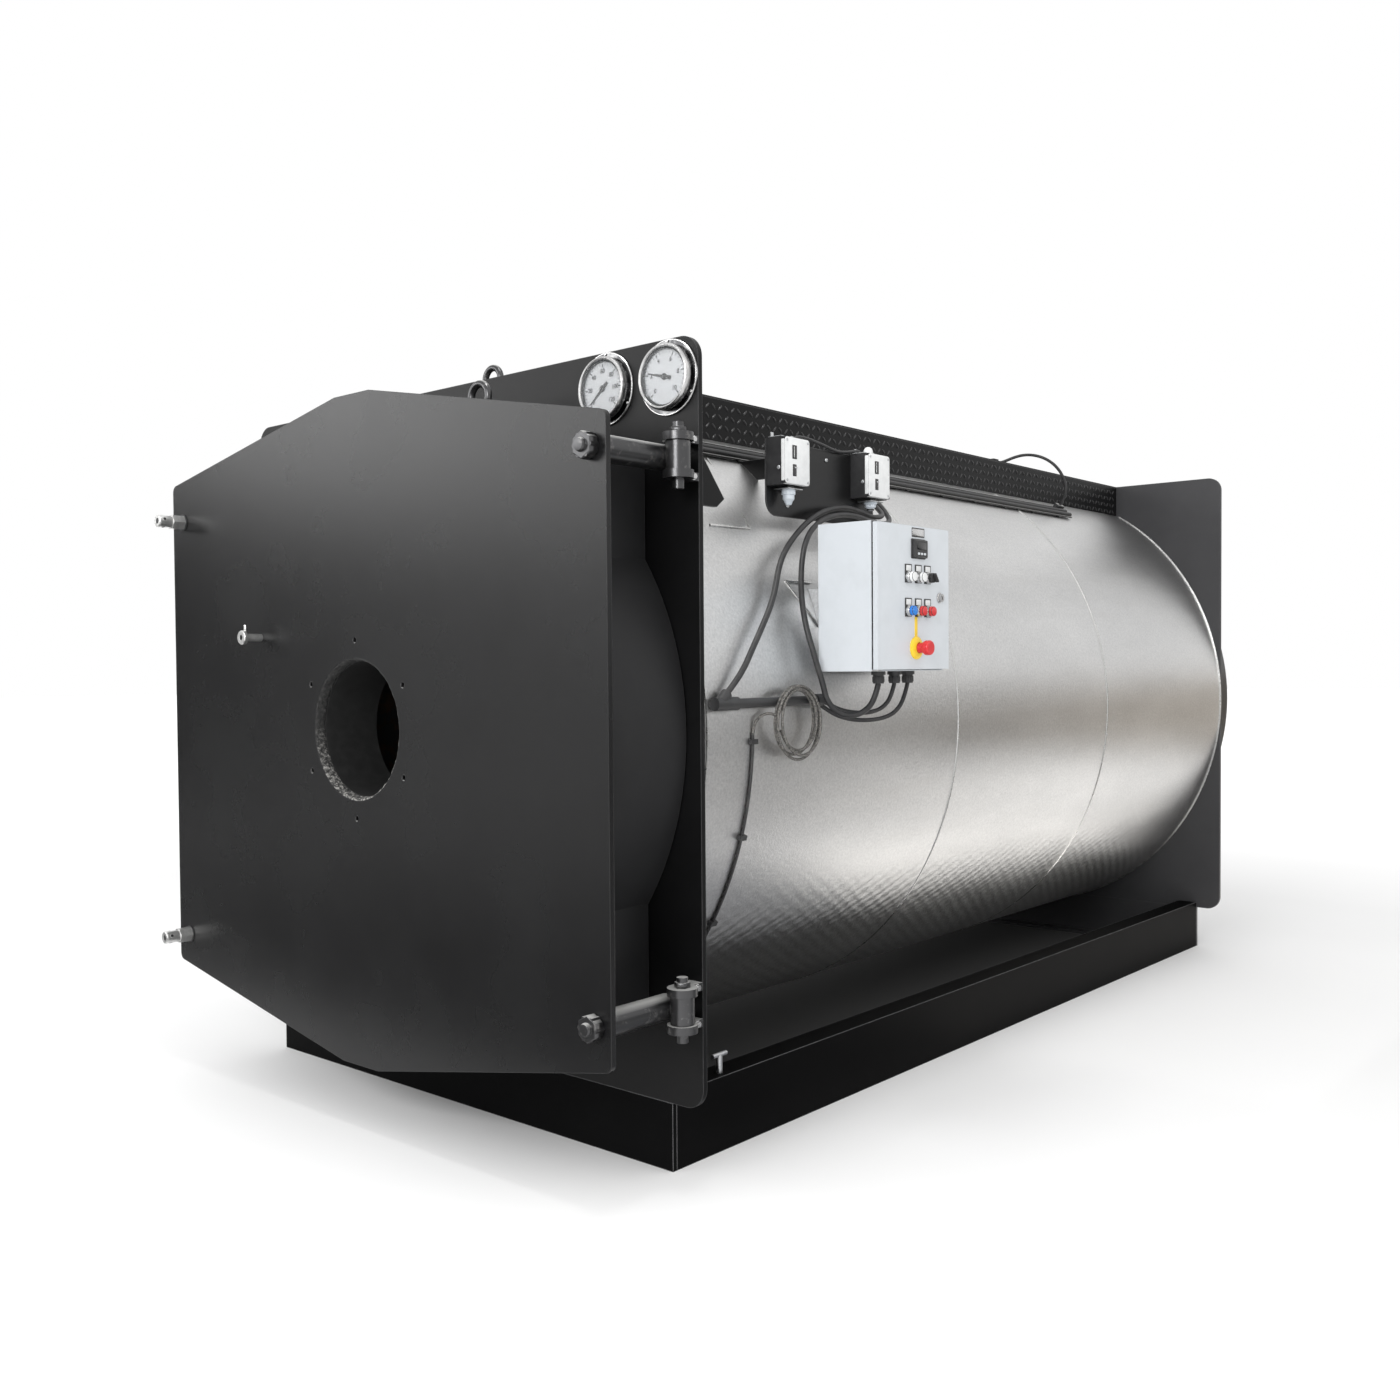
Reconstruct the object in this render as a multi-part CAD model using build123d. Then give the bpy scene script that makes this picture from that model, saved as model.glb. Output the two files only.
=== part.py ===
"""Skid-mounted hot-water boiler with a swing-open burner door and a side control cabinet.

X runs to the right seen from the burner door, Y to the rear, Z up, all in millimetres.
The origin is on the ground, at the middle of the front skid beam's foot.
Distances called places run back from the front plate's face.
"""
import os
from math import asin, cos, degrees, radians, sin, sqrt, tan

from build123d import *

# Pressure shell, jacket and end plates
BODY_LENGTH = 3500.0
SHELL_RADIUS = 905.0
SHELL_WALL = 14.0
INSULATION = 80.0
CLAD_WALL = 3.0
CLAD_SEAM_PARTS = (0.3494, 0.6646)
PLATE_WALL = 15.0
PLATE_BOTTOM = 175.0
PLATE_FOOT = 30.0
PLATE_TUCK = 3.0
PLATE_TOP_TUCK = 5.0
PLATE_CORNER = 55.0
SEAT_GAP = 0.3

CLAD_RADIUS = SHELL_RADIUS + INSULATION
AXIS_Z = PLATE_BOTTOM + PLATE_FOOT + SHELL_RADIUS
PLATE_HALF = CLAD_RADIUS - PLATE_TUCK
PLATE_TOP = AXIS_Z + CLAD_RADIUS - PLATE_TOP_TUCK
CLAD_SEAMS = [part * BODY_LENGTH for part in CLAD_SEAM_PARTS]

# Skid
SKID_INSET = 26.0
RAIL_HEIGHT = 198.0
RAIL_FLANGE = 80.0
RAIL_WALL = 10.0
BEAM_FOOT = 80.0
BEAM_FOOT_WALL = 12.0

SKID_HALF = SHELL_RADIUS - SKID_INSET
FACE_Y = -BEAM_FOOT / 2
INNER_Y = FACE_Y + PLATE_WALL
REAR_Y = INNER_Y + BODY_LENGTH
BACK_Y = REAR_Y + PLATE_WALL

# Furnace and smoke-tube ends
FURNACE_RADIUS = 400.0
FURNACE_WALL = 12.0
FURNACE_REAR_GAP = 650.0
TUBE_RADIUS = 38.0
TUBE_WALL = 5.0
TUBE_PROUD = 10.0
TUBE_RING_GAPS = (120.0, 240.0)
TUBE_COUNTS = (24, 30)

# Walkway deck and what stands on it
DECK_HALF = 503.0
DECK_WALL = 5.0
DECK_LAP = 12.0
RETURN_PLACE = 1100.0
FLOW_INSET = 1000.0
NOZZLE_BORE = 65.0
NOZZLE_WALL = 5.0
NOZZLE_FLANGE_RADIUS = 125.0
NOZZLE_FLANGE_WALL = 22.0
NOZZLE_BOLT_CIRCLE = 210.0
NOZZLE_BOLT_RADIUS = 9.0
NOZZLE_BOLTS = 8
NOZZLE_RISE = 60.0
EYE_RING = 34.0
EYE_ROD = 10.0
EYE_SHANK = 13.0
EYE_INSET = 190.0
EYE_RISE = 100.0

DECK_UNDER = PLATE_TOP - DECK_WALL
DECK_SIDE_BOTTOM = AXIS_Z + sqrt(CLAD_RADIUS ** 2 - DECK_HALF ** 2) - DECK_LAP
NOZZLE_PLACES = {"flow_nozzle": BODY_LENGTH - FLOW_INSET, "return_nozzle": RETURN_PLACE}
NOZZLE_TOP = PLATE_TOP + NOZZLE_RISE
EYE_PLACES = (EYE_INSET, BODY_LENGTH + PLATE_WALL - EYE_INSET)
EYE_TOP = PLATE_TOP + EYE_RISE

# Rear smokebox
SMOKEBOX_LAP = 30.0
SMOKEBOX_DEPTH = 200.0
SMOKEBOX_WALL = 8.0
COVER_WALL = 10.0
FLUE_RISE = 450.0
FLUE_RADIUS = 200.0
FLUE_WALL = 6.0
FLUE_LENGTH = 120.0
FLUE_FLANGE = 245.0
FLUE_FLANGE_WALL = 10.0

SMOKEBOX_RADIUS = SHELL_RADIUS + SMOKEBOX_LAP
FLUE_Z = AXIS_Z + FLUE_RISE

# Burner door
DOOR_TUCK = 4.0
DOOR_STANDOFF = 317.0
DOOR_WALL = 15.0
DOOR_SHOULDER_DROP = 228.0
DOOR_HIP_RISE = 170.0
DOOR_TOP_DROP = 61.0
DOOR_FOOT_RISE = 2.0
DOOR_PEAK_HALF = 80.0
DOOR_EDGE_ROUND = 22.0
DOOR_SWING_GAP = 6.0
CASING_SIDE_INSET = 172.0
CASING_LOBE_INSET = 38.0
CASING_LOBE_HEIGHT = 437.0
CASING_INSET = 45.0
CASING_WALL = 8.0
LINING_DEPTH = 190.0
BURNER_RADIUS = 197.0
BURNER_BOLT_CIRCLE = 492.0
BURNER_BOLT_RADIUS = 8.0
BURNER_BOLTS = 6

DOOR_HALF = PLATE_HALF - DOOR_TUCK
DOOR_FACE_Y = FACE_Y - DOOR_STANDOFF
DOOR_BACK_Y = DOOR_FACE_Y + DOOR_WALL
DOOR_CORNER_TOP = PLATE_TOP - DOOR_SHOULDER_DROP
DOOR_CORNER_BOTTOM = PLATE_BOTTOM + DOOR_HIP_RISE
DOOR_PEAK_TOP = PLATE_TOP - DOOR_TOP_DROP
DOOR_PEAK_BOTTOM = PLATE_BOTTOM + DOOR_FOOT_RISE
CASING_HALF = DOOR_HALF - CASING_SIDE_INSET
CASING_LOBE = DOOR_HALF - CASING_LOBE_INSET

# Door hinges, closing bolts and fittings
HINGE_TUCK = 5.0
HINGE_FORWARD = 70.0
HINGE_LOW_RISE = 268.0
HINGE_HIGH_DROP = 306.0
HINGE_PIN = 14.0
HINGE_RUNNING_GAP = 0.08
BARREL_RADIUS = 30.0
BARREL_HALF = 34.5
LUG_RADIUS = 38.0
LUG_WALL = 20.0
LUG_SPREAD = 35.0
PIN_REACH = 80.0
ARM_INSET = 52.0
ARM_RADIUS = 32.5
STUD_RADIUS = 14.0
STUD_REACH = 36.0
NUT_RADIUS = 32.0
NUT_WALL = 26.0
STUD_HOLE_GAP = 0.5
CLOSING_INSET = 60.0
CLOSING_LOW_RISE = 255.0
CLOSING_HIGH_DROP = 345.0
CLOSING_SLEEVE = 24.0
CLOSING_STUD = 13.0
CLOSING_CAP = 19.0
CLOSING_NUT = 24.0
CLOSING_NUT_WALL = 42.0
CLOSING_REACH = 85.0
BOSS_RADIUS = 30.0
BOSS_LENGTH = 60.0
SIGHT_X = -472.0
SIGHT_RISE = 261.0
SIGHT_RADIUS = 11.0
SIGHT_CAP = 20.5
SIGHT_REACH = 64.0
SIGHT_CAP_WALL = 10.0
DOOR_EYE_X = 355.0
DOOR_EYE_FORWARD = 170.0
DOOR_EYE_HEIGHT = 104.0

HINGE_X = PLATE_HALF - HINGE_TUCK
HINGE_Y = FACE_Y - HINGE_FORWARD
HINGE_HEIGHTS = (PLATE_BOTTOM + HINGE_LOW_RISE, PLATE_TOP - HINGE_HIGH_DROP)
ARM_X = HINGE_X - ARM_INSET
CLOSING_X = CLOSING_INSET - DOOR_HALF
CLOSING_HEIGHTS = (PLATE_BOTTOM + CLOSING_LOW_RISE, PLATE_TOP - CLOSING_HIGH_DROP)
SIGHT_Z = AXIS_Z + SIGHT_RISE

# Gauges on the front plate, each so far in from its right edge
GAUGE_INSETS = {"temperature_gauge": 311.0, "pressure_gauge": 95.0}
GAUGE_DROP = 96.0
GAUGE_FLANGE = 94.0
GAUGE_FLANGE_WALL = 5.0
GAUGE_CASE = 79.0
GAUGE_DEPTH = 24.0
GAUGE_LIP = 6.0
GAUGE_DIAL_SINK = 8.0

GAUGE_Z = PLATE_TOP - GAUGE_DROP

# Gussets behind the front plate, level with the upper hinge
GUSSET_INSET = 57.0
GUSSET_WALL = 12.0
GUSSET_LENGTH = 150.0
GUSSET_HALF = 102.0
GUSSET_TOE = (30.0, 23.0)

# Pressure switches and their bracket, with heights above the boiler's axis
SWITCH_PLATE_INSET = 151.0
SWITCH_PLATE_WALL = 4.0
SWITCH_PLATE_PLACES = (455.0, 986.0)
SWITCH_PLATE_RISE = (585.0, 795.0)
SWITCH_PLATE_ROUND = 45.0
SWITCH_ARM_WALL = 6.0
SWITCH_ARM_INSET = 150.0
SWITCH_ARM_RISE = (710.0, 770.0)
SWITCH_DEPTH = 63.0
SWITCH_WIDTH = 118.0
SWITCH_HEIGHT = 132.0
SWITCH_RISE = 666.0
SWITCH_FACE = 12.0
SWITCH_FACE_INSET = 2.0
SWITCH_PLACES = {"pressure_switch_front": 457.0, "pressure_switch_rear": 866.0}
SWITCH_STEM = 11.0
SWITCH_STEM_LENGTH = 12.0
SWITCH_HEX = 17.0
SWITCH_HEX_LENGTH = 22.0

SWITCH_PLATE_X = CLAD_RADIUS - SWITCH_PLATE_INSET
SWITCH_Z = AXIS_Z + SWITCH_RISE

# Control cabinet on the right side
CABINET_PLACE = 462.0
CABINET_WIDTH = 358.0
CABINET_RISE = 150.0
CABINET_HEIGHT = 395.0
CABINET_STANDOFF = 20.0
CABINET_DEPTH = 190.0
CABINET_WALL = 3.0
CABINET_DOOR_WALL = 15.0
CABINET_DOOR_GAP = 5.0
CABINET_TAB_WALL = 4.0
CABINET_TAB = 16.0
CABINET_PIN = 3.0
CABINET_PIN_GAP = 0.08
CABINET_PIN_DEPTH = 9.0
CABINET_PIN_END_GAP = 1.0
CABINET_PLATE_WALL = 3.0
CABINET_PLATE_INSET = 25.0
CABINET_PLATE_STANDOFF = 12.0
CABINET_POST = 5.0
CABINET_ARM_INSETS = (83.0, 308.0)
CABINET_ARM_WALL = 6.0
CABINET_ARM_INSET = 15.0
CABINET_ARM_HEIGHT = 215.0

CABINET_BACK_X = CLAD_RADIUS + CABINET_STANDOFF
CABINET_FACE_X = CABINET_BACK_X + CABINET_DEPTH
CABINET_RIM_X = CABINET_FACE_X - CABINET_DOOR_WALL - CABINET_DOOR_GAP
CABINET_Y = (FACE_Y + CABINET_PLACE, FACE_Y + CABINET_PLACE + CABINET_WIDTH)
CABINET_Z = (AXIS_Z + CABINET_RISE, AXIS_Z + CABINET_RISE + CABINET_HEIGHT)
CABINET_HINGE_X = CABINET_FACE_X - CABINET_DOOR_WALL / 2
CABINET_HINGE_Y = CABINET_Y[0] + CABINET_DOOR_WALL / 2

# Door-mounted controls, placed from the cabinet's lower front corner
CONTROLLER_AT = (198.0, 330.0)
CONTROLLER_SIZE = (66.0, 48.0)
CONTROLLER_PROUD = 12.0
CONTROLLER_BEVEL = 3.0
BUTTON_ROWS = {"cabinet_buttons": 262.0, "cabinet_lamps": 171.0}
BUTTON_COLUMNS = (147.0, 197.0, 244.0)
BUTTON_PLATE = (32.0, 50.0)
BUTTON_PLATE_WALL = 2.0
BUTTON_RADIUS = 13.0
BUTTON_PROUD = 22.0
BUTTON_DROP = 9.0
STOP_AT = (186.0, 62.0)
STOP_PLATE = 30.0
STOP_STEM = 14.0
STOP_HEAD = 20.0
STOP_REACH = 48.0
STOP_HEAD_WALL = 20.0
STOP_ROUND = 5.0
LOCK_AT = (309.0, 201.0)
LOCK_RADIUS = 11.0
LOCK_PROUD = 9.0

# Cable glands under the cabinet and the conduit along the jacket
GLAND_DEPTH = 100.0
GLAND_COLUMNS = (138.0, 218.0, 286.0)
GLAND_RADIUS = 15.0
GLAND_LENGTH = 34.0
GLAND_RIM = 4.0
GLAND_RIM_WALL = 10.0
CONDUIT_RISE = 73.0
CONDUIT_RADIUS = 12.5
CONDUIT_PLACES = (48.0, 480.0)
CONDUIT_SLEEVE = 17.0
CONDUIT_SLEEVE_LENGTHS = (70.0, 30.0)
CONDUIT_RISER = 40.0
CONDUIT_RISER_RADIUS = 15.0
CONDUIT_RISER_LEAN = 50.0

GLAND_X = CABINET_BACK_X + GLAND_DEPTH
GLAND_BOTTOM = CABINET_Z[0] - GLAND_LENGTH
CONDUIT_Z = AXIS_Z + CONDUIT_RISE
CONDUIT_X = sqrt((CLAD_RADIUS + SEAT_GAP + CONDUIT_SLEEVE) ** 2 - CONDUIT_RISE ** 2)
CONDUIT_Y = [FACE_Y + place for place in CONDUIT_PLACES]

# Thin cable clipped to the jacket, with heights above the boiler's axis
THIN_PLACE = 195.0
THIN_RADIUS = 4.0
THIN_RISE = (-630.0, -10.0)
CLIP_RISES = (-510.0, -276.0, -27.0)
CLIP_HALF = 13.0
CLIP_WALL = 4.0
CLIP_GAP = 0.2

THIN_ARC = CLAD_RADIUS + SEAT_GAP + THIN_RADIUS

# Wire tray beside the deck, with its outlets and the cables that lie in it
TRAY_GAP = 87.5
TRAY_WIRE = 5.0
TRAY_WIRES = (-38.0, -13.0, 13.0, 38.0)
TRAY_PLACE = 20.0
TRAY_END_INSET = 700.0
TRAY_RUNGS = 12
TRAY_OUTLET_PLACES = (1095.0, 1127.0)
TRAY_OUTLET_HALF = 25.0
TRAY_OUTLET_WIDTH = 24.0
TRAY_OUTLET_RISE = 20.0
TRAY_CABLE_RADIUS = 8.0
TRAY_CABLES = (0.0, 25.5)

TRAY_RADIUS = CLAD_RADIUS + SEAT_GAP + 1.5 * TRAY_WIRE
TRAY_ANGLE = degrees(asin((DECK_HALF + TRAY_GAP) / TRAY_RADIUS))
TRAY_Y = (FACE_Y + TRAY_PLACE, FACE_Y + BODY_LENGTH - TRAY_END_INSET)
TRAY_OUTLET_MIDDLE = TRAY_RADIUS + (TRAY_OUTLET_RISE - TRAY_WIRE / 2) / 2
TRAY_CLAMP_X = (TRAY_WIRES[0] + TRAY_WIRES[0] + TRAY_OUTLET_WIDTH) / 2
TRAY_CLAMP_Y = TRAY_Y[1] - TRAY_OUTLET_HALF

# Deck clamp for the cable that leaves the tray's rear end
DECK_CLAMP_INSET = 77.0
DECK_CLAMP_FORWARD = 268.0
DECK_CLAMP_HALF = 15.0
DECK_CLAMP_LENGTH = 40.0
DECK_CLAMP_HEIGHT = 24.0

DECK_CLAMP_X = DECK_HALF - DECK_CLAMP_INSET
DECK_CLAMP_Y = TRAY_CLAMP_Y - DECK_CLAMP_FORWARD

# Drain cock on the right skid rail
DRAIN_INSET = 27.0
DRAIN_PLACE = 215.0
DRAIN_RADIUS = 9.0
DRAIN_HEIGHT = 48.0
DRAIN_BAR = 56.0
DRAIN_BAR_RADIUS = 6.3

# Spare cable hung as a coil on the conduit
COIL_PLACE = 345.0
COIL_RISE = 30.0
COIL_RADIUS = 80.0
COIL_BUNDLE = 11.0

COIL_X = CONDUIT_X + CONDUIT_RADIUS + SEAT_GAP + COIL_BUNDLE

# Free cables. Each point stands out from the jacket's side, back from the plate and above the axis.
LEAD_DIAMETERS = {
    "tray_lead_front": 16.0,
    "tray_lead_cabinet": 16.0,
    "gland_lead_front": 12.0,
    "gland_lead_rear": 12.0,
    "spare_lead": 8.0,
    "deck_lead": 12.0,
}
SIDE_POINTS = {
    "tray_lead_front": [
        (-291, 1097, 732), (-241, 1092, 692), (-187, 1070, 654), (-143, 1030, 628), (-119, 970, 615),
        (-117, 929, 611), (-117, 855, 626), (-115, 774, 630), (-109, 675, 612), (-97, 576, 573),
        (-81, 484, 518), (-65, 418, 469), (-49, 374, 420), (-32, 339, 367), (-17, 297, 318),
        (-2, 246, 270), (11, 190, 214), (18, 130, 142),
    ],
    "tray_lead_cabinet": [
        (-289, 1134, 731), (-233, 1126, 688), (-176, 1097, 644), (-128, 1047, 610), (-100, 977, 593),
        (-93, 893, 591), (-93, 809, 605), (-92, 721, 602), (-88, 636, 582), (-79, 568, 548),
        (-65, 518, 505), (-49, 482, 455), (-32, 454, 404), (-15, 433, 354), (1, 420, 307),
        (15, 416, 262), (28, 420, 216), (40, 428, 166), (51, 438, 116), (55, 449, 72),
        (68, 478, 40), (86, 519, 28), (103, 559, 40), (115.5, 589, 72),
    ],
    "gland_lead_front": [
        (115.7, 670, 76), (104, 643, 47), (88, 607, 36), (68, 567, 36), (48, 529, 43), (31, 502, 58),
    ],
    "gland_lead_rear": [
        (115.7, 735, 66), (104, 701, 29.5), (88, 653, 16), (68, 596, 14), (48, 546, 21), (27, 506, 38),
    ],
    "spare_lead": [(5.2, 197, 12), (10, 207, 32), (19, 225, 44), (29, 245, 44)],
}
LEAD_SINK = 4.0
LEAD_SPREAD = 7.0
LEAD_DROPS = (2.0, 9.0)
ARC_SHARE = 0.45
DECK_POINTS = [
    (105, -2, -115), (110, -12, -68), (99, -29, -22), (73, -51, 18), (38, -78, 44), (4, -107, 54),
    (-22, -138, 52), (-45, -170, 41), (-61, -203, 26), (-71, -236, 15),
]


def block(x, y, z):
    """Box between three (low, high) pairs."""
    centre = Pos((x[0] + x[1]) / 2, (y[0] + y[1]) / 2, (z[0] + z[1]) / 2)
    return centre * Box(x[1] - x[0], y[1] - y[0], z[1] - z[0])


def rod_y(radius, y, x=0.0, z=AXIS_Z):
    """Round bar along Y between a (low, high) pair."""
    return Pos(x, (y[0] + y[1]) / 2, z) * Rot(90, 0, 0) * Cylinder(radius, y[1] - y[0])


def rod_z(radius, z, x=0.0, y=0.0):
    """Round bar along Z between a (low, high) pair."""
    return Pos(x, y, (z[0] + z[1]) / 2) * Cylinder(radius, z[1] - z[0])


def rod_x(radius, x, y=0.0, z=0.0):
    """Round bar along X between a (low, high) pair."""
    return Pos((x[0] + x[1]) / 2, y, z) * Rot(0, 90, 0) * Cylinder(radius, x[1] - x[0])


def hexagon_y(radius, y, x, z):
    """Hexagonal nut along Y."""
    return prism_y(Pos(x, z) * RegularPolygon(radius, 6), y)


def prism_y(face, y):
    """Outline drawn in X and Z, given a depth between a (low, high) pair along Y."""
    return Pos(0, y[1], 0) * extrude(Plane.XZ * face, amount=y[1] - y[0])


def prism_x(face, x):
    """Outline drawn in Y and Z, given a depth between a (low, high) pair along X."""
    return Pos(x[0], 0, 0) * extrude(Plane.YZ * face, amount=x[1] - x[0])


def ring_y(outer, inner, y):
    """Round pipe along Y about the boiler's axis."""
    return rod_y(outer, y) - rod_y(inner, y)


def skid_rail(side):
    """Channel with its web outside and its flanges turned inwards."""
    y = (INNER_Y, REAR_Y)
    outer = side * SKID_HALF
    edges = sorted((outer, outer - side * RAIL_FLANGE))
    hollow = sorted((outer - side * RAIL_WALL, outer - side * (RAIL_FLANGE + RAIL_WALL)))
    return block(edges, y, (0, RAIL_HEIGHT)) - block(hollow, y, (RAIL_WALL, RAIL_HEIGHT - RAIL_WALL))


def skid_beam(y_outer, inward):
    """Angle under an end plate: an upright web and a foot turned inwards."""
    x = (-SKID_HALF, SKID_HALF)
    web = block(x, sorted((y_outer, y_outer + inward * PLATE_WALL)), (0, PLATE_BOTTOM))
    between = (-SKID_HALF + RAIL_FLANGE, SKID_HALF - RAIL_FLANGE)
    foot = block(between, sorted((y_outer, y_outer + inward * BEAM_FOOT)), (0, BEAM_FOOT_WALL))
    return web + foot


def plate_outline():
    """Upright end plate with rounded corners."""
    middle = (PLATE_TOP + PLATE_BOTTOM) / 2
    return Pos(0, middle) * RectangleRounded(2 * PLATE_HALF, PLATE_TOP - PLATE_BOTTOM, PLATE_CORNER)


def front_plate():
    """Front plate, which is also the front tube plate, with the furnace mouth."""
    mouth = Pos(0, AXIS_Z) * Circle(FURNACE_RADIUS)
    return prism_y(plate_outline() - mouth, (FACE_Y, INNER_Y))


def rear_plate():
    """Plain plate at the shell's rear end."""
    return prism_y(plate_outline(), (REAR_Y, BACK_Y))


def pressure_shell():
    """Water shell under the jacket, open below each nozzle."""
    shell = ring_y(SHELL_RADIUS, SHELL_RADIUS - SHELL_WALL, (INNER_Y, REAR_Y))
    for place in NOZZLE_PLACES.values():
        shell -= rod_z(NOZZLE_BORE, (AXIS_Z, AXIS_Z + SHELL_RADIUS), y=FACE_Y + place)
    return shell


def furnace_tube():
    """Furnace tube with its closed rear end."""
    outer = FURNACE_RADIUS + FURNACE_WALL
    end = REAR_Y - FURNACE_REAR_GAP
    return rod_y(outer, (INNER_Y, end)) - rod_y(FURNACE_RADIUS, (INNER_Y, end - FURNACE_WALL))


def smoke_tube_ends():
    """Expanded tube ends round the furnace mouth."""
    y = (FACE_Y - TUBE_PROUD, FACE_Y)
    ends = []
    for gap, count in zip(TUBE_RING_GAPS, TUBE_COUNTS):
        for place in PolarLocations(FURNACE_RADIUS + gap, count):
            x, z = place.position.X, AXIS_Z + place.position.Y
            ends.append(rod_y(TUBE_RADIUS, y, x, z) - rod_y(TUBE_RADIUS - TUBE_WALL, y, x, z))
    return Compound(children=ends)


def cladding_sheet(start, end):
    """One length of the round jacket, open under the walkway deck."""
    y = (INNER_Y + start, INNER_Y + end)
    slot = DECK_HALF + SEAT_GAP
    top = block((-slot, slot), y, (AXIS_Z, PLATE_TOP + CLAD_RADIUS))
    return ring_y(CLAD_RADIUS, CLAD_RADIUS - CLAD_WALL, y) - top


def deck_top():
    """Flat walkway sheet with round cut-outs for what passes through it, and one cable clamp."""
    sheet = block((-DECK_HALF, DECK_HALF), (INNER_Y, REAR_Y), (DECK_UNDER, PLATE_TOP))
    for place in NOZZLE_PLACES.values():
        sheet -= rod_z(NOZZLE_BORE + NOZZLE_WALL + SEAT_GAP, (DECK_UNDER, PLATE_TOP), y=FACE_Y + place)
    for place in EYE_PLACES:
        sheet -= rod_z(EYE_SHANK + SEAT_GAP, (DECK_UNDER, PLATE_TOP), y=FACE_Y + place)
    x = (DECK_CLAMP_X - DECK_CLAMP_HALF, DECK_CLAMP_X + DECK_CLAMP_HALF)
    y = (DECK_CLAMP_Y - DECK_CLAMP_LENGTH, DECK_CLAMP_Y)
    return sheet + block(x, y, (PLATE_TOP, PLATE_TOP + DECK_CLAMP_HEIGHT))


def deck_side(side):
    """Upright strip between the jacket and the deck's edge."""
    x = sorted((side * DECK_HALF, side * (DECK_HALF - DECK_WALL)))
    return block(x, (INNER_Y, REAR_Y), (DECK_SIDE_BOTTOM, DECK_UNDER))


def nozzle(place):
    """Flanged water connection rising from the pressure shell."""
    y = FACE_Y + place
    outer = NOZZLE_BORE + NOZZLE_WALL
    pipe = rod_z(outer, (AXIS_Z + SHELL_RADIUS - outer, NOZZLE_TOP), y=y)
    flange = rod_z(NOZZLE_FLANGE_RADIUS, (NOZZLE_TOP - NOZZLE_FLANGE_WALL, NOZZLE_TOP), y=y)
    body = pipe + flange - rod_z(NOZZLE_BORE, (AXIS_Z, NOZZLE_TOP), y=y)
    half_step = 180 / NOZZLE_BOLTS
    for spot in PolarLocations(NOZZLE_BOLT_CIRCLE / 2, NOZZLE_BOLTS, start_angle=half_step):
        hole = (NOZZLE_TOP - NOZZLE_FLANGE_WALL, NOZZLE_TOP)
        body -= rod_z(NOZZLE_BOLT_RADIUS, hole, spot.position.X, y + spot.position.Y)
    return body - rod_y(SHELL_RADIUS + SEAT_GAP, (INNER_Y, REAR_Y))


def lifting_ring(height):
    """Eye on a shank, standing on the plane Z = 0, with its ring facing along Y."""
    middle = height - EYE_RING - EYE_ROD
    ring = Pos(0, 0, middle) * Rot(90, 0, 0) * Torus(EYE_RING, EYE_ROD)
    return ring + rod_z(EYE_SHANK, (0, middle - EYE_RING))


def lifting_eyes():
    """Two eyes that stand on the shell and rise through the deck."""
    base = AXIS_Z + SHELL_RADIUS + SEAT_GAP
    eye = lifting_ring(EYE_TOP - base)
    return Compound(children=[Pos(0, FACE_Y + place, base) * eye for place in EYE_PLACES])


def rear_smokebox():
    """Round drum behind the rear plate."""
    inner = SMOKEBOX_RADIUS - SMOKEBOX_WALL
    return ring_y(SMOKEBOX_RADIUS, inner, (BACK_Y, BACK_Y + SMOKEBOX_DEPTH))


def rear_cover():
    """Round cover on the smokebox, open into the flue."""
    y = (BACK_Y + SMOKEBOX_DEPTH, BACK_Y + SMOKEBOX_DEPTH + COVER_WALL)
    return rod_y(SMOKEBOX_RADIUS, y) - rod_y(FLUE_RADIUS, y, z=FLUE_Z)


def flue_collar():
    """Round flue outlet with a flange at its free end."""
    start = BACK_Y + SMOKEBOX_DEPTH + COVER_WALL
    end = start + FLUE_LENGTH
    body = rod_y(FLUE_RADIUS + FLUE_WALL, (start, end), z=FLUE_Z)
    body += rod_y(FLUE_FLANGE, (end - FLUE_FLANGE_WALL, end), z=FLUE_Z)
    return body - rod_y(FLUE_RADIUS, (start, end), z=FLUE_Z)


def door_slope():
    """Fall of the door's upper and lower edges for each millimetre sideways."""
    return (DOOR_PEAK_TOP - DOOR_CORNER_TOP) / (DOOR_HALF - DOOR_PEAK_HALF)


def door_top_at(x):
    """Height of the door's upper edge."""
    return DOOR_PEAK_TOP - door_slope() * max(0.0, abs(x) - DOOR_PEAK_HALF)


def door_bottom_at(x):
    """Height of the door's lower edge."""
    rise = (DOOR_CORNER_BOTTOM - DOOR_PEAK_BOTTOM) / (DOOR_HALF - DOOR_PEAK_HALF)
    return DOOR_PEAK_BOTTOM + rise * max(0.0, abs(x) - DOOR_PEAK_HALF)


def door_outline():
    """Eight-sided door with upper and lower edges that rise to the middle."""
    corners = [(DOOR_HALF, DOOR_CORNER_BOTTOM), (DOOR_HALF, DOOR_CORNER_TOP)]
    corners += [(DOOR_PEAK_HALF, DOOR_PEAK_TOP), (-DOOR_PEAK_HALF, DOOR_PEAK_TOP)]
    corners += [(-DOOR_HALF, DOOR_CORNER_TOP), (-DOOR_HALF, DOOR_CORNER_BOTTOM)]
    corners += [(-DOOR_PEAK_HALF, DOOR_PEAK_BOTTOM), (DOOR_PEAK_HALF, DOOR_PEAK_BOTTOM)]
    outline = make_face(Polyline(*corners, close=True))
    return fillet(outline.vertices(), DOOR_EDGE_ROUND)


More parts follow.
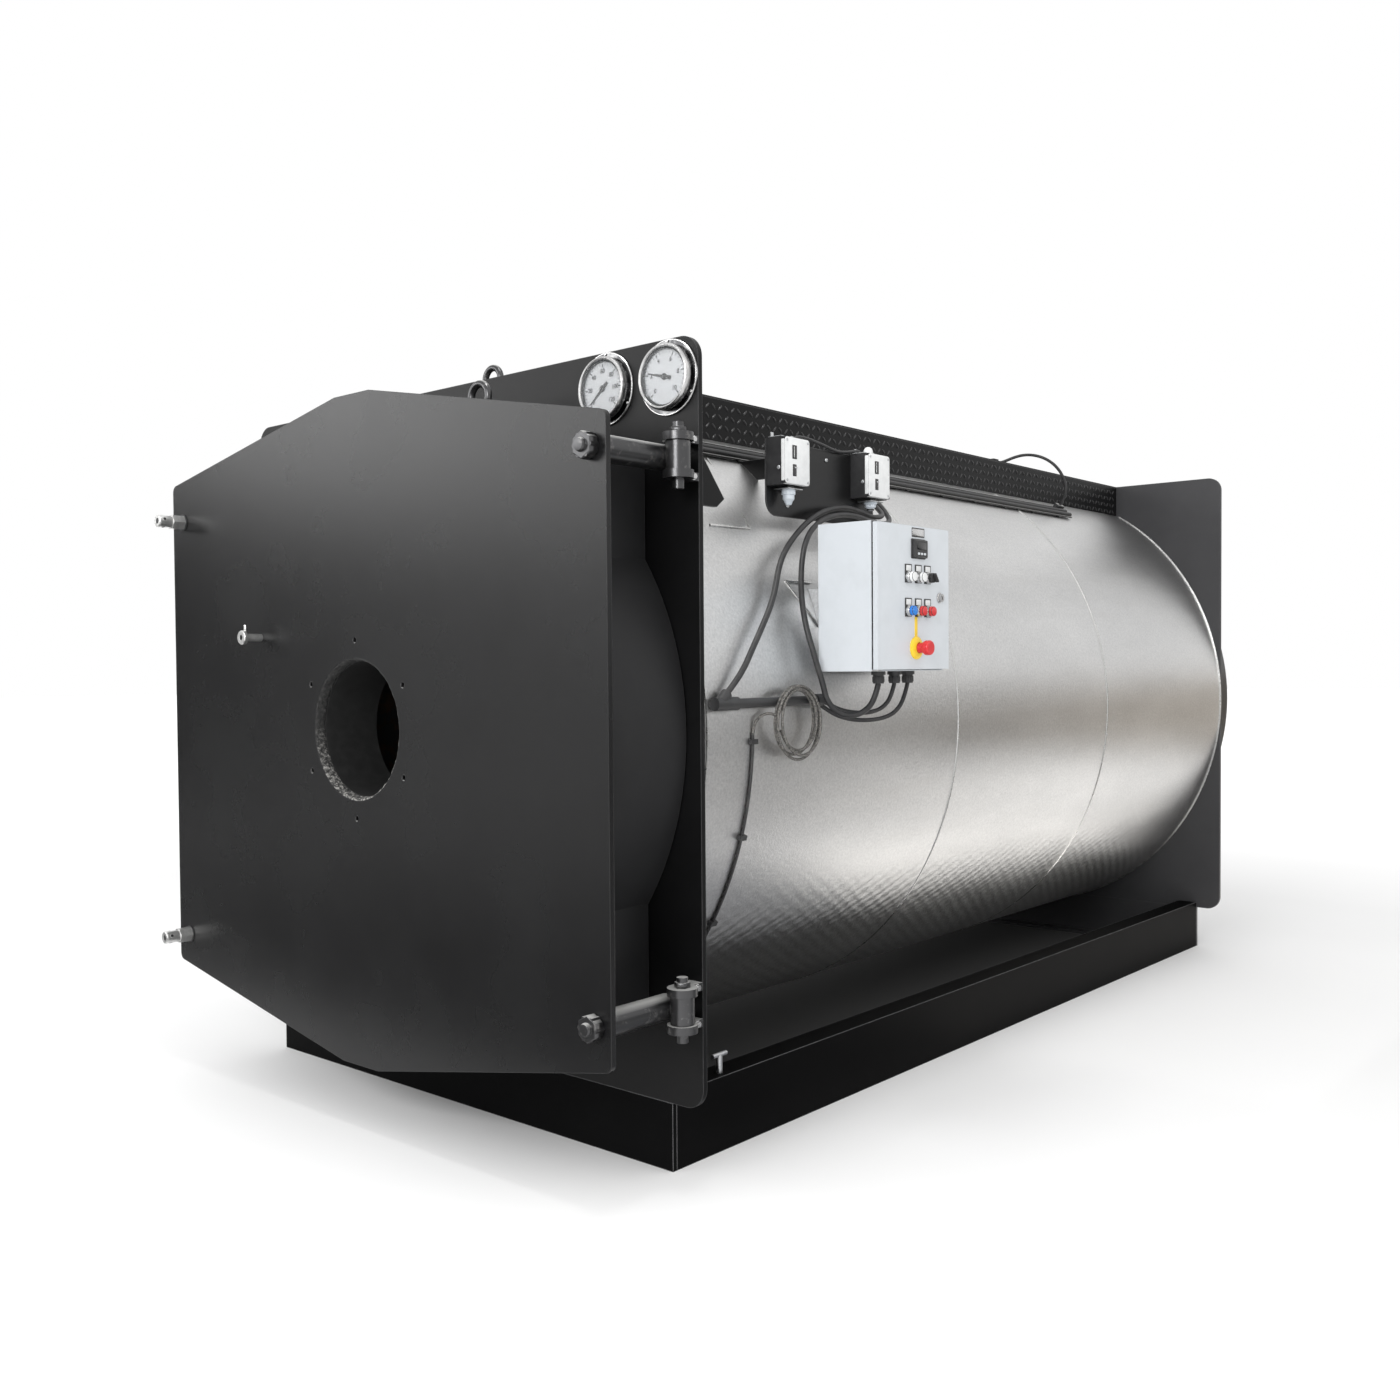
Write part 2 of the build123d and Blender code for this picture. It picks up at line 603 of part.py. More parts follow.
def casing_outline(inset):
    """Straight-sided front smokebox with a round lobe on each side at burner height."""
    half = CASING_HALF - inset
    lobe = CASING_LOBE - inset
    top_side = door_top_at(CASING_HALF) - CASING_INSET - inset
    top = DOOR_PEAK_TOP - CASING_INSET - inset
    bottom_side = door_bottom_at(CASING_HALF) + CASING_INSET + inset
    bottom = DOOR_PEAK_BOTTOM + CASING_INSET + inset
    high = AXIS_Z + CASING_LOBE_HEIGHT
    low = AXIS_Z - CASING_LOBE_HEIGHT
    edges = [
        Polyline((half, low), (half, bottom_side), (DOOR_PEAK_HALF, bottom), (-DOOR_PEAK_HALF, bottom),
                 (-half, bottom_side), (-half, low)),
        ThreePointArc((-half, low), (-lobe, AXIS_Z), (-half, high)),
        Polyline((-half, high), (-half, top_side), (-DOOR_PEAK_HALF, top), (DOOR_PEAK_HALF, top),
                 (half, top_side), (half, high)),
        ThreePointArc((half, high), (lobe, AXIS_Z), (half, low)),
    ]
    return make_face(Curve() + edges)


def door_plate():
    """Door plate with the burner opening, its bolt circle and the stud holes."""
    face = door_outline() - Pos(0, AXIS_Z) * Circle(BURNER_RADIUS)
    for spot in PolarLocations(BURNER_BOLT_CIRCLE / 2, BURNER_BOLTS, start_angle=90):
        face -= Pos(spot.position.X, AXIS_Z + spot.position.Y) * Circle(BURNER_BOLT_RADIUS)
    for z in HINGE_HEIGHTS:
        face -= Pos(ARM_X, z) * Circle(STUD_RADIUS + STUD_HOLE_GAP)
    for z in CLOSING_HEIGHTS:
        face -= Pos(CLOSING_X, z) * Circle(CLOSING_STUD + STUD_HOLE_GAP)
    return prism_y(face, (DOOR_FACE_Y, DOOR_BACK_Y))


def door_casing():
    """Wall of the front smokebox, welded to the door."""
    wall = casing_outline(0.0) - casing_outline(CASING_WALL)
    return prism_y(wall, (DOOR_BACK_Y, FACE_Y - DOOR_SWING_GAP))


def door_lining():
    """Refractory block inside the casing, bored for the burner."""
    face = casing_outline(CASING_WALL + SEAT_GAP) - Pos(0, AXIS_Z) * Circle(BURNER_RADIUS)
    return prism_y(face, (DOOR_BACK_Y, DOOR_BACK_Y + LINING_DEPTH))


def hinge_arms():
    """Arms from the door plate to the hinge barrels, each with its stud and nut."""
    arms = []
    for z in HINGE_HEIGHTS:
        barrel = rod_z(BARREL_RADIUS, (z - BARREL_HALF, z + BARREL_HALF), HINGE_X, HINGE_Y)
        arm = barrel + rod_y(ARM_RADIUS, (DOOR_BACK_Y, HINGE_Y), ARM_X, z)
        arm += rod_y(STUD_RADIUS, (DOOR_FACE_Y - STUD_REACH, DOOR_BACK_Y), ARM_X, z)
        arm += hexagon_y(NUT_RADIUS, (DOOR_FACE_Y - NUT_WALL, DOOR_FACE_Y), ARM_X, z)
        bore = HINGE_PIN + HINGE_RUNNING_GAP
        arms.append(arm - rod_z(bore, (z - LUG_SPREAD, z + LUG_SPREAD), HINGE_X, HINGE_Y))
    return Compound(children=arms)


def hinge_lugs():
    """Pairs of lugs on the front plate, each pair with its fixed pin."""
    lugs = []
    edge = (HINGE_X - LUG_RADIUS, PLATE_HALF)
    for z in HINGE_HEIGHTS:
        pair = rod_z(HINGE_PIN, (z - PIN_REACH, z + PIN_REACH), HINGE_X, HINGE_Y)
        for low in (z - LUG_SPREAD - LUG_WALL, z + LUG_SPREAD):
            level = (low, low + LUG_WALL)
            pair += rod_z(LUG_RADIUS, level, HINGE_X, HINGE_Y) + block(edge, (HINGE_Y, FACE_Y), level)
        lugs.append(pair)
    return Compound(children=lugs)


def closing_bolts():
    """Sleeves, studs and capped nuts that pull the door's free edge shut."""
    bolts = []
    sleeve_end = FACE_Y - BOSS_LENGTH - DOOR_SWING_GAP
    for z in CLOSING_HEIGHTS:
        bolt = rod_y(CLOSING_SLEEVE, (DOOR_BACK_Y, sleeve_end), CLOSING_X, z)
        bolt += rod_y(CLOSING_STUD, (DOOR_FACE_Y, DOOR_BACK_Y), CLOSING_X, z)
        bolt += hexagon_y(CLOSING_NUT, (DOOR_FACE_Y - CLOSING_NUT_WALL, DOOR_FACE_Y), CLOSING_X, z)
        bolt += rod_y(CLOSING_CAP, (DOOR_FACE_Y - CLOSING_REACH, DOOR_FACE_Y), CLOSING_X, z)
        bolts.append(bolt)
    return Compound(children=bolts)


def closing_bosses():
    """Threaded bosses on the front plate for the closing bolts."""
    y = (FACE_Y - BOSS_LENGTH, FACE_Y)
    return Compound(children=[rod_y(BOSS_RADIUS, y, CLOSING_X, z) for z in CLOSING_HEIGHTS])


def sight_glass():
    """Viewing tube with a screwed cap."""
    end = DOOR_FACE_Y - SIGHT_REACH
    tube = rod_y(SIGHT_RADIUS, (end, DOOR_FACE_Y), SIGHT_X, SIGHT_Z)
    return tube + rod_y(SIGHT_CAP, (end, end + SIGHT_CAP_WALL), SIGHT_X, SIGHT_Z)


def door_eye():
    """Lifting eye square to the casing's sloping top."""
    top = door_top_at(DOOR_EYE_X) - CASING_INSET
    place = Pos(DOOR_EYE_X, FACE_Y - DOOR_EYE_FORWARD, top + SEAT_GAP)
    return place * Rot(0, degrees(asin(door_slope())), 0) * lifting_ring(DOOR_EYE_HEIGHT)


def dial_gauge(x):
    """Dial gauge: a fixing flange, a round case and a raised lip round the dial."""
    front = FACE_Y - GAUGE_DEPTH
    case = rod_y(GAUGE_FLANGE, (FACE_Y - GAUGE_FLANGE_WALL, FACE_Y), x, GAUGE_Z)
    case += rod_y(GAUGE_CASE, (front, FACE_Y), x, GAUGE_Z)
    return case - rod_y(GAUGE_CASE - GAUGE_LIP, (front, front + GAUGE_DIAL_SINK), x, GAUGE_Z)


def plate_gussets():
    """Triangular stiffeners behind the front plate, each with its toe cut off."""
    outer = PLATE_HALF - GUSSET_INSET
    top = HINGE_HEIGHTS[1] + GUSSET_HALF
    foot = HINGE_HEIGHTS[1] - GUSSET_HALF
    toe = INNER_Y + GUSSET_LENGTH
    corners = [(INNER_Y, top), (INNER_Y, foot), (toe - GUSSET_TOE[0], foot), (toe, foot + GUSSET_TOE[1])]
    face = make_face(Polyline(*corners, close=True))
    pieces = []
    for side in (-1, 1):
        x = sorted((side * outer, side * (outer - GUSSET_WALL)))
        pieces.append(prism_x(face, x) - clad_space())
    return Compound(children=pieces)


def clad_space():
    """Room that the jacket takes up, with a seating gap."""
    return rod_y(CLAD_RADIUS + SEAT_GAP, (INNER_Y, REAR_Y))


def switch_bracket():
    """Upright plate for the pressure switches, on two arms from the jacket."""
    y = [FACE_Y + place for place in SWITCH_PLATE_PLACES]
    z = [AXIS_Z + rise for rise in SWITCH_PLATE_RISE]
    arm_z = [AXIS_Z + rise for rise in SWITCH_ARM_RISE]
    face = Pos((y[0] + y[1]) / 2, (z[0] + z[1]) / 2) * Rectangle(y[1] - y[0], z[1] - z[0])
    face = fillet(face.vertices().group_by(Axis.Y)[0], SWITCH_PLATE_ROUND)
    bracket = prism_x(face, (SWITCH_PLATE_X - SWITCH_PLATE_WALL, SWITCH_PLATE_X))
    for place in (y[0] + SWITCH_ARM_INSET, y[1] - SWITCH_ARM_INSET):
        arm = block((DECK_HALF, SWITCH_PLATE_X), (place, place + SWITCH_ARM_WALL), arm_z)
        bracket += arm - clad_space()
    return bracket


def pressure_switch(place):
    """Box-shaped switch with a hexagonal connection below it."""
    y = (FACE_Y + place, FACE_Y + place + SWITCH_WIDTH)
    z = (SWITCH_Z, SWITCH_Z + SWITCH_HEIGHT)
    front = SWITCH_PLATE_X + SWITCH_DEPTH
    inset = SWITCH_FACE_INSET
    body = block((SWITCH_PLATE_X, front - SWITCH_FACE), y, z)
    body += block((front - SWITCH_FACE, front), (y[0] + inset, y[1] - inset), (z[0] + inset, z[1] - inset))
    middle = (y[0] + y[1]) / 2
    depth = SWITCH_PLATE_X + SWITCH_DEPTH / 2
    hex_bottom = SWITCH_Z - SWITCH_HEX_LENGTH
    nut = extrude(RegularPolygon(SWITCH_HEX, 6), amount=SWITCH_HEX_LENGTH)
    body += Pos(depth, middle, hex_bottom) * nut
    return body + rod_z(SWITCH_STEM, (hex_bottom - SWITCH_STEM_LENGTH, hex_bottom), depth, middle)


def cabinet_box():
    """Folded sheet box, open towards its door."""
    y, z = CABINET_Y, CABINET_Z
    wall = CABINET_WALL
    inside = (y[0] + wall, y[1] - wall), (z[0] + wall, z[1] - wall)
    box = block((CABINET_BACK_X, CABINET_RIM_X), y, z)
    box -= block((CABINET_BACK_X + wall, CABINET_RIM_X), *inside)
    for column in GLAND_COLUMNS:
        box -= rod_z(GLAND_RADIUS - GLAND_RIM, (z[0], z[0] + wall), GLAND_X, y[0] + column)
    return box


def cabinet_hinge_tabs():
    """Tabs on the box that carry the cabinet door's upper and lower pins."""
    y, z = CABINET_Y, CABINET_Z
    tabs = []
    for level, inward in ((z[0], 1), (z[1], -1)):
        thick = sorted((level, level + inward * CABINET_TAB_WALL))
        tab = block((CABINET_RIM_X, CABINET_FACE_X), (y[0], y[0] + CABINET_TAB), thick)
        pin = sorted((level, level + inward * (CABINET_TAB_WALL + CABINET_PIN_DEPTH)))
        tabs.append(tab + rod_z(CABINET_PIN, pin, CABINET_HINGE_X, CABINET_HINGE_Y))
    return Compound(children=tabs)


def cabinet_panel():
    """Cabinet door with a pin hole at each end of its hinge edge."""
    y, z = CABINET_Y, CABINET_Z
    ends = (z[0] + CABINET_TAB_WALL + SEAT_GAP, z[1] - CABINET_TAB_WALL - SEAT_GAP)
    panel = block((CABINET_FACE_X - CABINET_DOOR_WALL, CABINET_FACE_X), y, ends)
    hole = CABINET_PIN + CABINET_PIN_GAP
    depth = CABINET_PIN_DEPTH + CABINET_PIN_END_GAP
    for low in (ends[0], ends[1] - depth):
        panel -= rod_z(hole, (low, low + depth), CABINET_HINGE_X, CABINET_HINGE_Y)
    return panel


def cabinet_back_plate():
    """Mounting plate on four posts inside the cabinet."""
    y, z = CABINET_Y, CABINET_Z
    inset = CABINET_PLATE_INSET
    start = CABINET_BACK_X + CABINET_WALL
    seat = start + CABINET_PLATE_STANDOFF
    x = (seat, seat + CABINET_PLATE_WALL)
    plate = block(x, (y[0] + inset, y[1] - inset), (z[0] + inset, z[1] - inset))
    for py in (y[0] + 2 * inset, y[1] - 2 * inset):
        for pz in (z[0] + 2 * inset, z[1] - 2 * inset):
            plate += rod_x(CABINET_POST, (start, seat), py, pz)
    return plate


def cabinet_brackets():
    """Two upright webs between the jacket and the cabinet's back."""
    webs = []
    low = CABINET_Z[0] + CABINET_ARM_INSET
    z = (low, low + CABINET_ARM_HEIGHT)
    for inset in CABINET_ARM_INSETS:
        y = (CABINET_Y[0] + inset, CABINET_Y[0] + inset + CABINET_ARM_WALL)
        webs.append(block((SHELL_RADIUS, CABINET_BACK_X), y, z) - clad_space())
    return Compound(children=webs)


def on_panel(at):
    """Y and Z of a control on the cabinet door."""
    return CABINET_Y[0] + at[0], CABINET_Z[0] + at[1]


def cabinet_controller():
    """Temperature controller with a bevelled bezel."""
    y, z = on_panel(CONTROLLER_AT)
    half_y, half_z = CONTROLLER_SIZE[0] / 2, CONTROLLER_SIZE[1] / 2
    face = (CABINET_FACE_X, CABINET_FACE_X + CONTROLLER_PROUD)
    bezel = block(face, (y - half_y, y + half_y), (z - half_z, z + half_z))
    return chamfer(bezel.edges().group_by(Axis.X)[-1], CONTROLLER_BEVEL)


def button_row(level):
    """Three round heads, each on its own small plate."""
    heads = []
    half_y, half_z = BUTTON_PLATE[0] / 2, BUTTON_PLATE[1] / 2
    seat = CABINET_FACE_X + BUTTON_PLATE_WALL
    for column in BUTTON_COLUMNS:
        y, z = on_panel((column, level))
        head = block((CABINET_FACE_X, seat), (y - half_y, y + half_y), (z - half_z, z + half_z))
        head += rod_x(BUTTON_RADIUS, (seat, CABINET_FACE_X + BUTTON_PROUD), y, z - BUTTON_DROP)
        heads.append(head)
    return Compound(children=heads)


def emergency_stop():
    """Mushroom head on a round plate."""
    y, z = on_panel(STOP_AT)
    end = CABINET_FACE_X + STOP_REACH
    stop = rod_x(STOP_PLATE, (CABINET_FACE_X, CABINET_FACE_X + BUTTON_PLATE_WALL), y, z)
    stop += rod_x(STOP_STEM, (CABINET_FACE_X, end), y, z)
    return stop + fillet(rod_x(STOP_HEAD, (end - STOP_HEAD_WALL, end), y, z).edges(), STOP_ROUND)


def cabinet_lock():
    """Round quarter-turn lock."""
    y, z = on_panel(LOCK_AT)
    return rod_x(LOCK_RADIUS, (CABINET_FACE_X, CABINET_FACE_X + LOCK_PROUD), y, z)


def cable_glands():
    """Glands under the cabinet's floor."""
    glands = []
    top = CABINET_Z[0]
    for column in GLAND_COLUMNS:
        y = CABINET_Y[0] + column
        gland = rod_z(GLAND_RADIUS, (GLAND_BOTTOM, top), GLAND_X, y)
        glands.append(gland + rod_z(GLAND_RADIUS + GLAND_RIM, (top - GLAND_RIM_WALL, top), GLAND_X, y))
    return Compound(children=glands)


def conduit_pipe():
    """Straight conduit on the jacket, with a sleeve at each end and a leaning riser at the front."""
    low, high = CONDUIT_Y
    front, rear = CONDUIT_SLEEVE_LENGTHS
    pipe = rod_y(CONDUIT_RADIUS, (low, high), CONDUIT_X, CONDUIT_Z)
    pipe += rod_y(CONDUIT_SLEEVE, (low - CONDUIT_SLEEVE, low + front), CONDUIT_X, CONDUIT_Z)
    pipe += rod_y(CONDUIT_SLEEVE, (high - rear, high), CONDUIT_X, CONDUIT_Z)
    foot = Pos(CONDUIT_X, low, CONDUIT_Z) * Rot(-CONDUIT_RISER_LEAN, 0, 0)
    return pipe + foot * rod_z(CONDUIT_RISER_RADIUS, (0, CONDUIT_RISER))


def jacket_angle(rise, radius):
    """Angle above the boiler's mid height of a point on a circle round its axis."""
    return degrees(asin(rise / radius))


def jacket_sector(low, high):
    """Wedge about the boiler's axis between two angles."""
    reach = 2 * CLAD_RADIUS
    corners = [(0, AXIS_Z)]
    corners += [(reach * cos(radians(a)), AXIS_Z + reach * sin(radians(a))) for a in (low, high)]
    return make_face(Polyline(*corners, close=True))


def clipped_cable():
    """Thin cable held against the jacket by clips."""
    y = FACE_Y + THIN_PLACE
    low, high = [jacket_angle(rise, THIN_ARC) for rise in THIN_RISE]
    ring = Pos(0, y, AXIS_Z) * Rot(90, 0, 0) * Torus(THIN_ARC, THIN_RADIUS)
    return ring & prism_y(jacket_sector(low, high), (y - CLIP_HALF, y + CLIP_HALF))


def cable_clips():
    """Saddle clips over the thin cable."""
    y = FACE_Y + THIN_PLACE
    width = (y - CLIP_HALF, y + CLIP_HALF)
    height = (AXIS_Z - CLIP_HALF / 2, AXIS_Z + CLIP_HALF / 2)
    clip = block((SHELL_RADIUS, THIN_ARC + THIN_RADIUS + CLIP_WALL), width, height) - clad_space()
    clip -= Pos(0, y, AXIS_Z) * Rot(90, 0, 0) * Torus(THIN_ARC, THIN_RADIUS + CLIP_GAP)
    clips = []
    for rise in CLIP_RISES:
        turn = Rot(0, -jacket_angle(rise, THIN_ARC), 0)
        clips.append(Pos(0, 0, AXIS_Z) * turn * Pos(0, 0, -AXIS_Z) * clip)
    return Compound(children=clips)


def on_tray(piece):
    """Leans a piece drawn upright on top of the boiler over to the tray's place."""
    return Pos(0, 0, AXIS_Z) * Rot(0, TRAY_ANGLE, 0) * piece


def tray_point(x, y, z):
    """Point of the leaning tray in the shared frame."""
    lean = radians(TRAY_ANGLE)
    return x * cos(lean) + z * sin(lean), y, AXIS_Z - x * sin(lean) + z * cos(lean)


def cable_tray():
    """Wire tray on the jacket beside the deck: long wires on cross rungs, with two cable outlets."""
    half = TRAY_WIRE / 2
    tray = None
    for x in TRAY_WIRES:
        wire = block((x - half, x + half), TRAY_Y, (TRAY_RADIUS - half, TRAY_RADIUS + half))
        tray = wire if tray is None else tray + wire
    reach = max(TRAY_WIRES) + TRAY_WIRE
    pitch = (TRAY_Y[1] - TRAY_Y[0]) / TRAY_RUNGS
    for index in range(TRAY_RUNGS):
        place = TRAY_Y[0] + (index + 0.5) * pitch
        low = TRAY_RADIUS - half - TRAY_WIRE
        tray += block((-reach, reach), (place - half, place + half), (low, TRAY_RADIUS - half))
    first, last = [FACE_Y + place for place in TRAY_OUTLET_PLACES]
    outlet = (first - TRAY_OUTLET_HALF, last + TRAY_OUTLET_HALF)
    level = (TRAY_RADIUS - half, TRAY_RADIUS + TRAY_OUTLET_RISE)
    tray += block((TRAY_WIRES[-1], TRAY_WIRES[-1] + TRAY_OUTLET_WIDTH), outlet, level)
    clamp = (TRAY_CLAMP_Y - TRAY_OUTLET_HALF, TRAY_CLAMP_Y + TRAY_OUTLET_HALF)
    tray += block((TRAY_WIRES[0], TRAY_WIRES[0] + TRAY_OUTLET_WIDTH), clamp, level)
    return on_tray(tray)


def tray_cables():
    """Cables that lie on the rungs, straight along the tray."""
    level = TRAY_RADIUS - TRAY_WIRE / 2 + SEAT_GAP + TRAY_CABLE_RADIUS
    cables = [rod_y(TRAY_CABLE_RADIUS, TRAY_Y, x, level) for x in TRAY_CABLES]
    return Compound(children=[on_tray(cable) for cable in cables])


def drain_cock():
    """Small cock with a cross bar, standing on the skid rail."""
    x = SKID_HALF - DRAIN_INSET
    y = FACE_Y + DRAIN_PLACE
    top = RAIL_HEIGHT + DRAIN_HEIGHT
    bar = rod_y(DRAIN_BAR_RADIUS, (y - DRAIN_BAR / 2, y + DRAIN_BAR / 2), x, top)
    return rod_z(DRAIN_RADIUS, (RAIL_HEIGHT, top), x, y) + bar


def spare_coil():
    """Outer shape of the spare cable's hung coil."""
    place = Pos(COIL_X, FACE_Y + COIL_PLACE, AXIS_Z + COIL_RISE)
    return place * Rot(0, 90, 0) * Torus(COIL_RADIUS, COIL_BUNDLE)


def lead_ends():
    """First and last points of each free cable, on the pieces that hold it."""
    outlet_x = TRAY_WIRES[-1] + TRAY_OUTLET_WIDTH
    first, second = [tray_point(outlet_x, FACE_Y + y, TRAY_OUTLET_MIDDLE) for y in TRAY_OUTLET_PLACES]
    lean = radians(CONDUIT_RISER_LEAN)
    riser = (CONDUIT_X, CONDUIT_Y[0] + CONDUIT_RISER * sin(lean), CONDUIT_Z + CONDUIT_RISER * cos(lean))
    glands = [(GLAND_X, CABINET_Y[0] + column, GLAND_BOTTOM) for column in GLAND_COLUMNS]
    sunk = CONDUIT_Y[1] - LEAD_SINK
    upper = (CONDUIT_X + LEAD_SPREAD, sunk, CONDUIT_Z - LEAD_DROPS[0])
    lower = (CONDUIT_X - LEAD_SPREAD, sunk, CONDUIT_Z - LEAD_DROPS[1])
    thin_angle = radians(jacket_angle(THIN_RISE[1], THIN_ARC))
    thin_end = (THIN_ARC * cos(thin_angle), FACE_Y + THIN_PLACE, AXIS_Z + THIN_RISE[1])
    coil_edge = FACE_Y + COIL_PLACE - COIL_RADIUS
    coil_side = (COIL_X - LEAD_SINK, coil_edge - LEAD_SINK, AXIS_Z + COIL_RISE + LEAD_SPREAD)
    clamp = tray_point(TRAY_CLAMP_X, TRAY_CLAMP_Y, TRAY_RADIUS + TRAY_OUTLET_RISE)
    deck = (DECK_CLAMP_X, DECK_CLAMP_Y, PLATE_TOP + DECK_CLAMP_HEIGHT / 2)
    return {
        "tray_lead_front": (first, riser),
        "tray_lead_cabinet": (second, glands[0]),
        "gland_lead_front": (glands[1], upper),
        "gland_lead_rear": (glands[2], lower),
        "spare_lead": (thin_end, coil_side),
        "deck_lead": (clamp, deck),
    }


def lead_routes():
    """Whole route of each free cable in the shared frame."""
    between = {}
    for name, points in SIDE_POINTS.items():
        between[name] = [(CLAD_RADIUS + x, FACE_Y + y, AXIS_Z + z) for x, y, z in points]
    between["deck_lead"] = [(DECK_HALF + x, TRAY_CLAMP_Y + y, PLATE_TOP + z) for x, y, z in DECK_POINTS]
    return {name: [start, *between[name], end] for name, (start, end) in lead_ends().items()}


def cord_tube(name, points, diameter):
    """Round cable along straight runs joined by arcs as large as the runs allow."""
    spots = [Vector(*point) for point in points]
    radii = []
    for before, here, after in zip(spots, spots[1:], spots[2:]):
        turn = (here - before).get_angle(after - here)
        shorter = min((here - before).length, (after - here).length)
        radii.append(ARC_SHARE * shorter / tan(radians(turn) / 2))
    path = FilletPolyline(*points, radius=radii)
    profile = Plane(origin=path @ 0, z_dir=path % 0) * Circle(diameter / 2)
    tube = sweep(profile, path=path)
    print(name, "radii", [round(radius) for radius in radii], "length", round(path.length))
    return tube


def build_nodes():
    """All the boiler's pieces by name."""
    nodes = {
        "skid_rail_left": skid_rail(-1),
        "skid_rail_right": skid_rail(1),
        "skid_front_beam": skid_beam(FACE_Y, 1),
        "skid_rear_beam": skid_beam(BACK_Y, -1),
        "front_plate": front_plate(),
        "rear_plate": rear_plate(),
        "pressure_shell": pressure_shell(),
        "furnace_tube": furnace_tube(),
        "smoke_tube_ends": smoke_tube_ends(),
        "cladding_front": cladding_sheet(0.0, CLAD_SEAMS[0]),
        "cladding_middle": cladding_sheet(*CLAD_SEAMS),
        "cladding_rear": cladding_sheet(CLAD_SEAMS[1], BODY_LENGTH),
        "deck_top": deck_top(),
        "deck_side_left": deck_side(-1),
        "deck_side_right": deck_side(1),
        "lifting_eyes": lifting_eyes(),
        "rear_smokebox": rear_smokebox(),
        "rear_cover": rear_cover(),
        "flue_collar": flue_collar(),
        "door_plate": door_plate(),
        "door_casing": door_casing(),
        "door_lining": door_lining(),
        "hinge_arms": hinge_arms(),
        "hinge_lugs": hinge_lugs(),
        "closing_bolts": closing_bolts(),
        "closing_bosses": closing_bosses(),
        "sight_glass": sight_glass(),
        "door_eye": door_eye(),
        "plate_gussets": plate_gussets(),
        "switch_bracket": switch_bracket(),
        "cabinet_box": cabinet_box(),
        "cabinet_hinge_tabs": cabinet_hinge_tabs(),
        "cabinet_panel": cabinet_panel(),
        "cabinet_back_plate": cabinet_back_plate(),
        "cabinet_brackets": cabinet_brackets(),
        "cabinet_controller": cabinet_controller(),
        "emergency_stop": emergency_stop(),
        "cabinet_lock": cabinet_lock(),
        "cable_glands": cable_glands(),
        "conduit_pipe": conduit_pipe(),
        "clipped_cable": clipped_cable(),
        "cable_clips": cable_clips(),
        "cable_tray": cable_tray(),
        "tray_cables": tray_cables(),
        "spare_coil": spare_coil(),
        "drain_cock": drain_cock(),
    }
    for name, place in NOZZLE_PLACES.items():
        nodes[name] = nozzle(place)
    for name, inset in GAUGE_INSETS.items():
        nodes[name] = dial_gauge(PLATE_HALF - inset)
    for name, place in SWITCH_PLACES.items():
        nodes[name] = pressure_switch(place)
    for name, level in BUTTON_ROWS.items():
        nodes[name] = button_row(level)
    for name, points in lead_routes().items():
        nodes[name] = cord_tube(name, points, LEAD_DIAMETERS[name])
    return nodes


if __name__ == "__main__":
    os.makedirs("parts", exist_ok=True)
    for node_name, solid in build_nodes().items():
        export_step(solid, f"parts/{node_name}.step")
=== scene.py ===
"""Looks of a skid-mounted hot-water boiler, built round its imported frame. All sizes are in metres.

X runs to the right seen from the burner door, Y to the rear and Z up, as in the frame.
"""
from math import asin, atan2, cos, pi, radians, sin, sqrt

import bmesh
import bpy
from mathutils import Matrix, Vector


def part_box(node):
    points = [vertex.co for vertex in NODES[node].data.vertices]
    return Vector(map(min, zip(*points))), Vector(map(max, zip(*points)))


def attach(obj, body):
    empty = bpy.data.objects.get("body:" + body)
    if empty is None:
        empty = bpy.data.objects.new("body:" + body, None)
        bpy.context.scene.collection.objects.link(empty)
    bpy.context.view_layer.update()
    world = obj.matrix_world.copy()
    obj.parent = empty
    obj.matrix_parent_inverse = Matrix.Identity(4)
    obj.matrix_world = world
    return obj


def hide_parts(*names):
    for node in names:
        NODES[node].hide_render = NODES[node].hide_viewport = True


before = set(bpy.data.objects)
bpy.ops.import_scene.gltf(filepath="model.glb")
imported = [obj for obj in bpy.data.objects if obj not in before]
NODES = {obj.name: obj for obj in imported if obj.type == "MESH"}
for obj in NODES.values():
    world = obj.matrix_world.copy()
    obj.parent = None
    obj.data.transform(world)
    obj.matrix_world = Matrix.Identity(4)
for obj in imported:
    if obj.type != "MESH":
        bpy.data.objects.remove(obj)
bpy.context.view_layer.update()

# Places read from the frame
PLATE_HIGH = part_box("front_plate")[1]
REAR_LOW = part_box("rear_plate")[0]
DRUM_LOW, DRUM_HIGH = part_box("rear_smokebox")
DECK_LOW, DECK_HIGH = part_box("deck_side_right")
PANEL_LOW, PANEL_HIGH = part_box("cabinet_panel")
DOOR_FACE_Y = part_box("door_plate")[0].y
JACKET_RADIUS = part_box("cladding_front")[1].x
AXIS_Z = (DRUM_LOW.z + DRUM_HIGH.z) / 2
PANEL_X = PANEL_HIGH.x

# Turns that lay a shape's Z axis to the front, to the rear and to the right
FORWARD = Matrix.Rotation(radians(90), 4, "X")
BACKWARD = Matrix.Rotation(radians(-90), 4, "X")
SIDEWAYS = Matrix.Rotation(radians(90), 4, "Y")
# The same to the right, with local x running to the rear and local y up
ON_SIDE = Matrix.Rotation(radians(90), 4, "Z") @ FORWARD


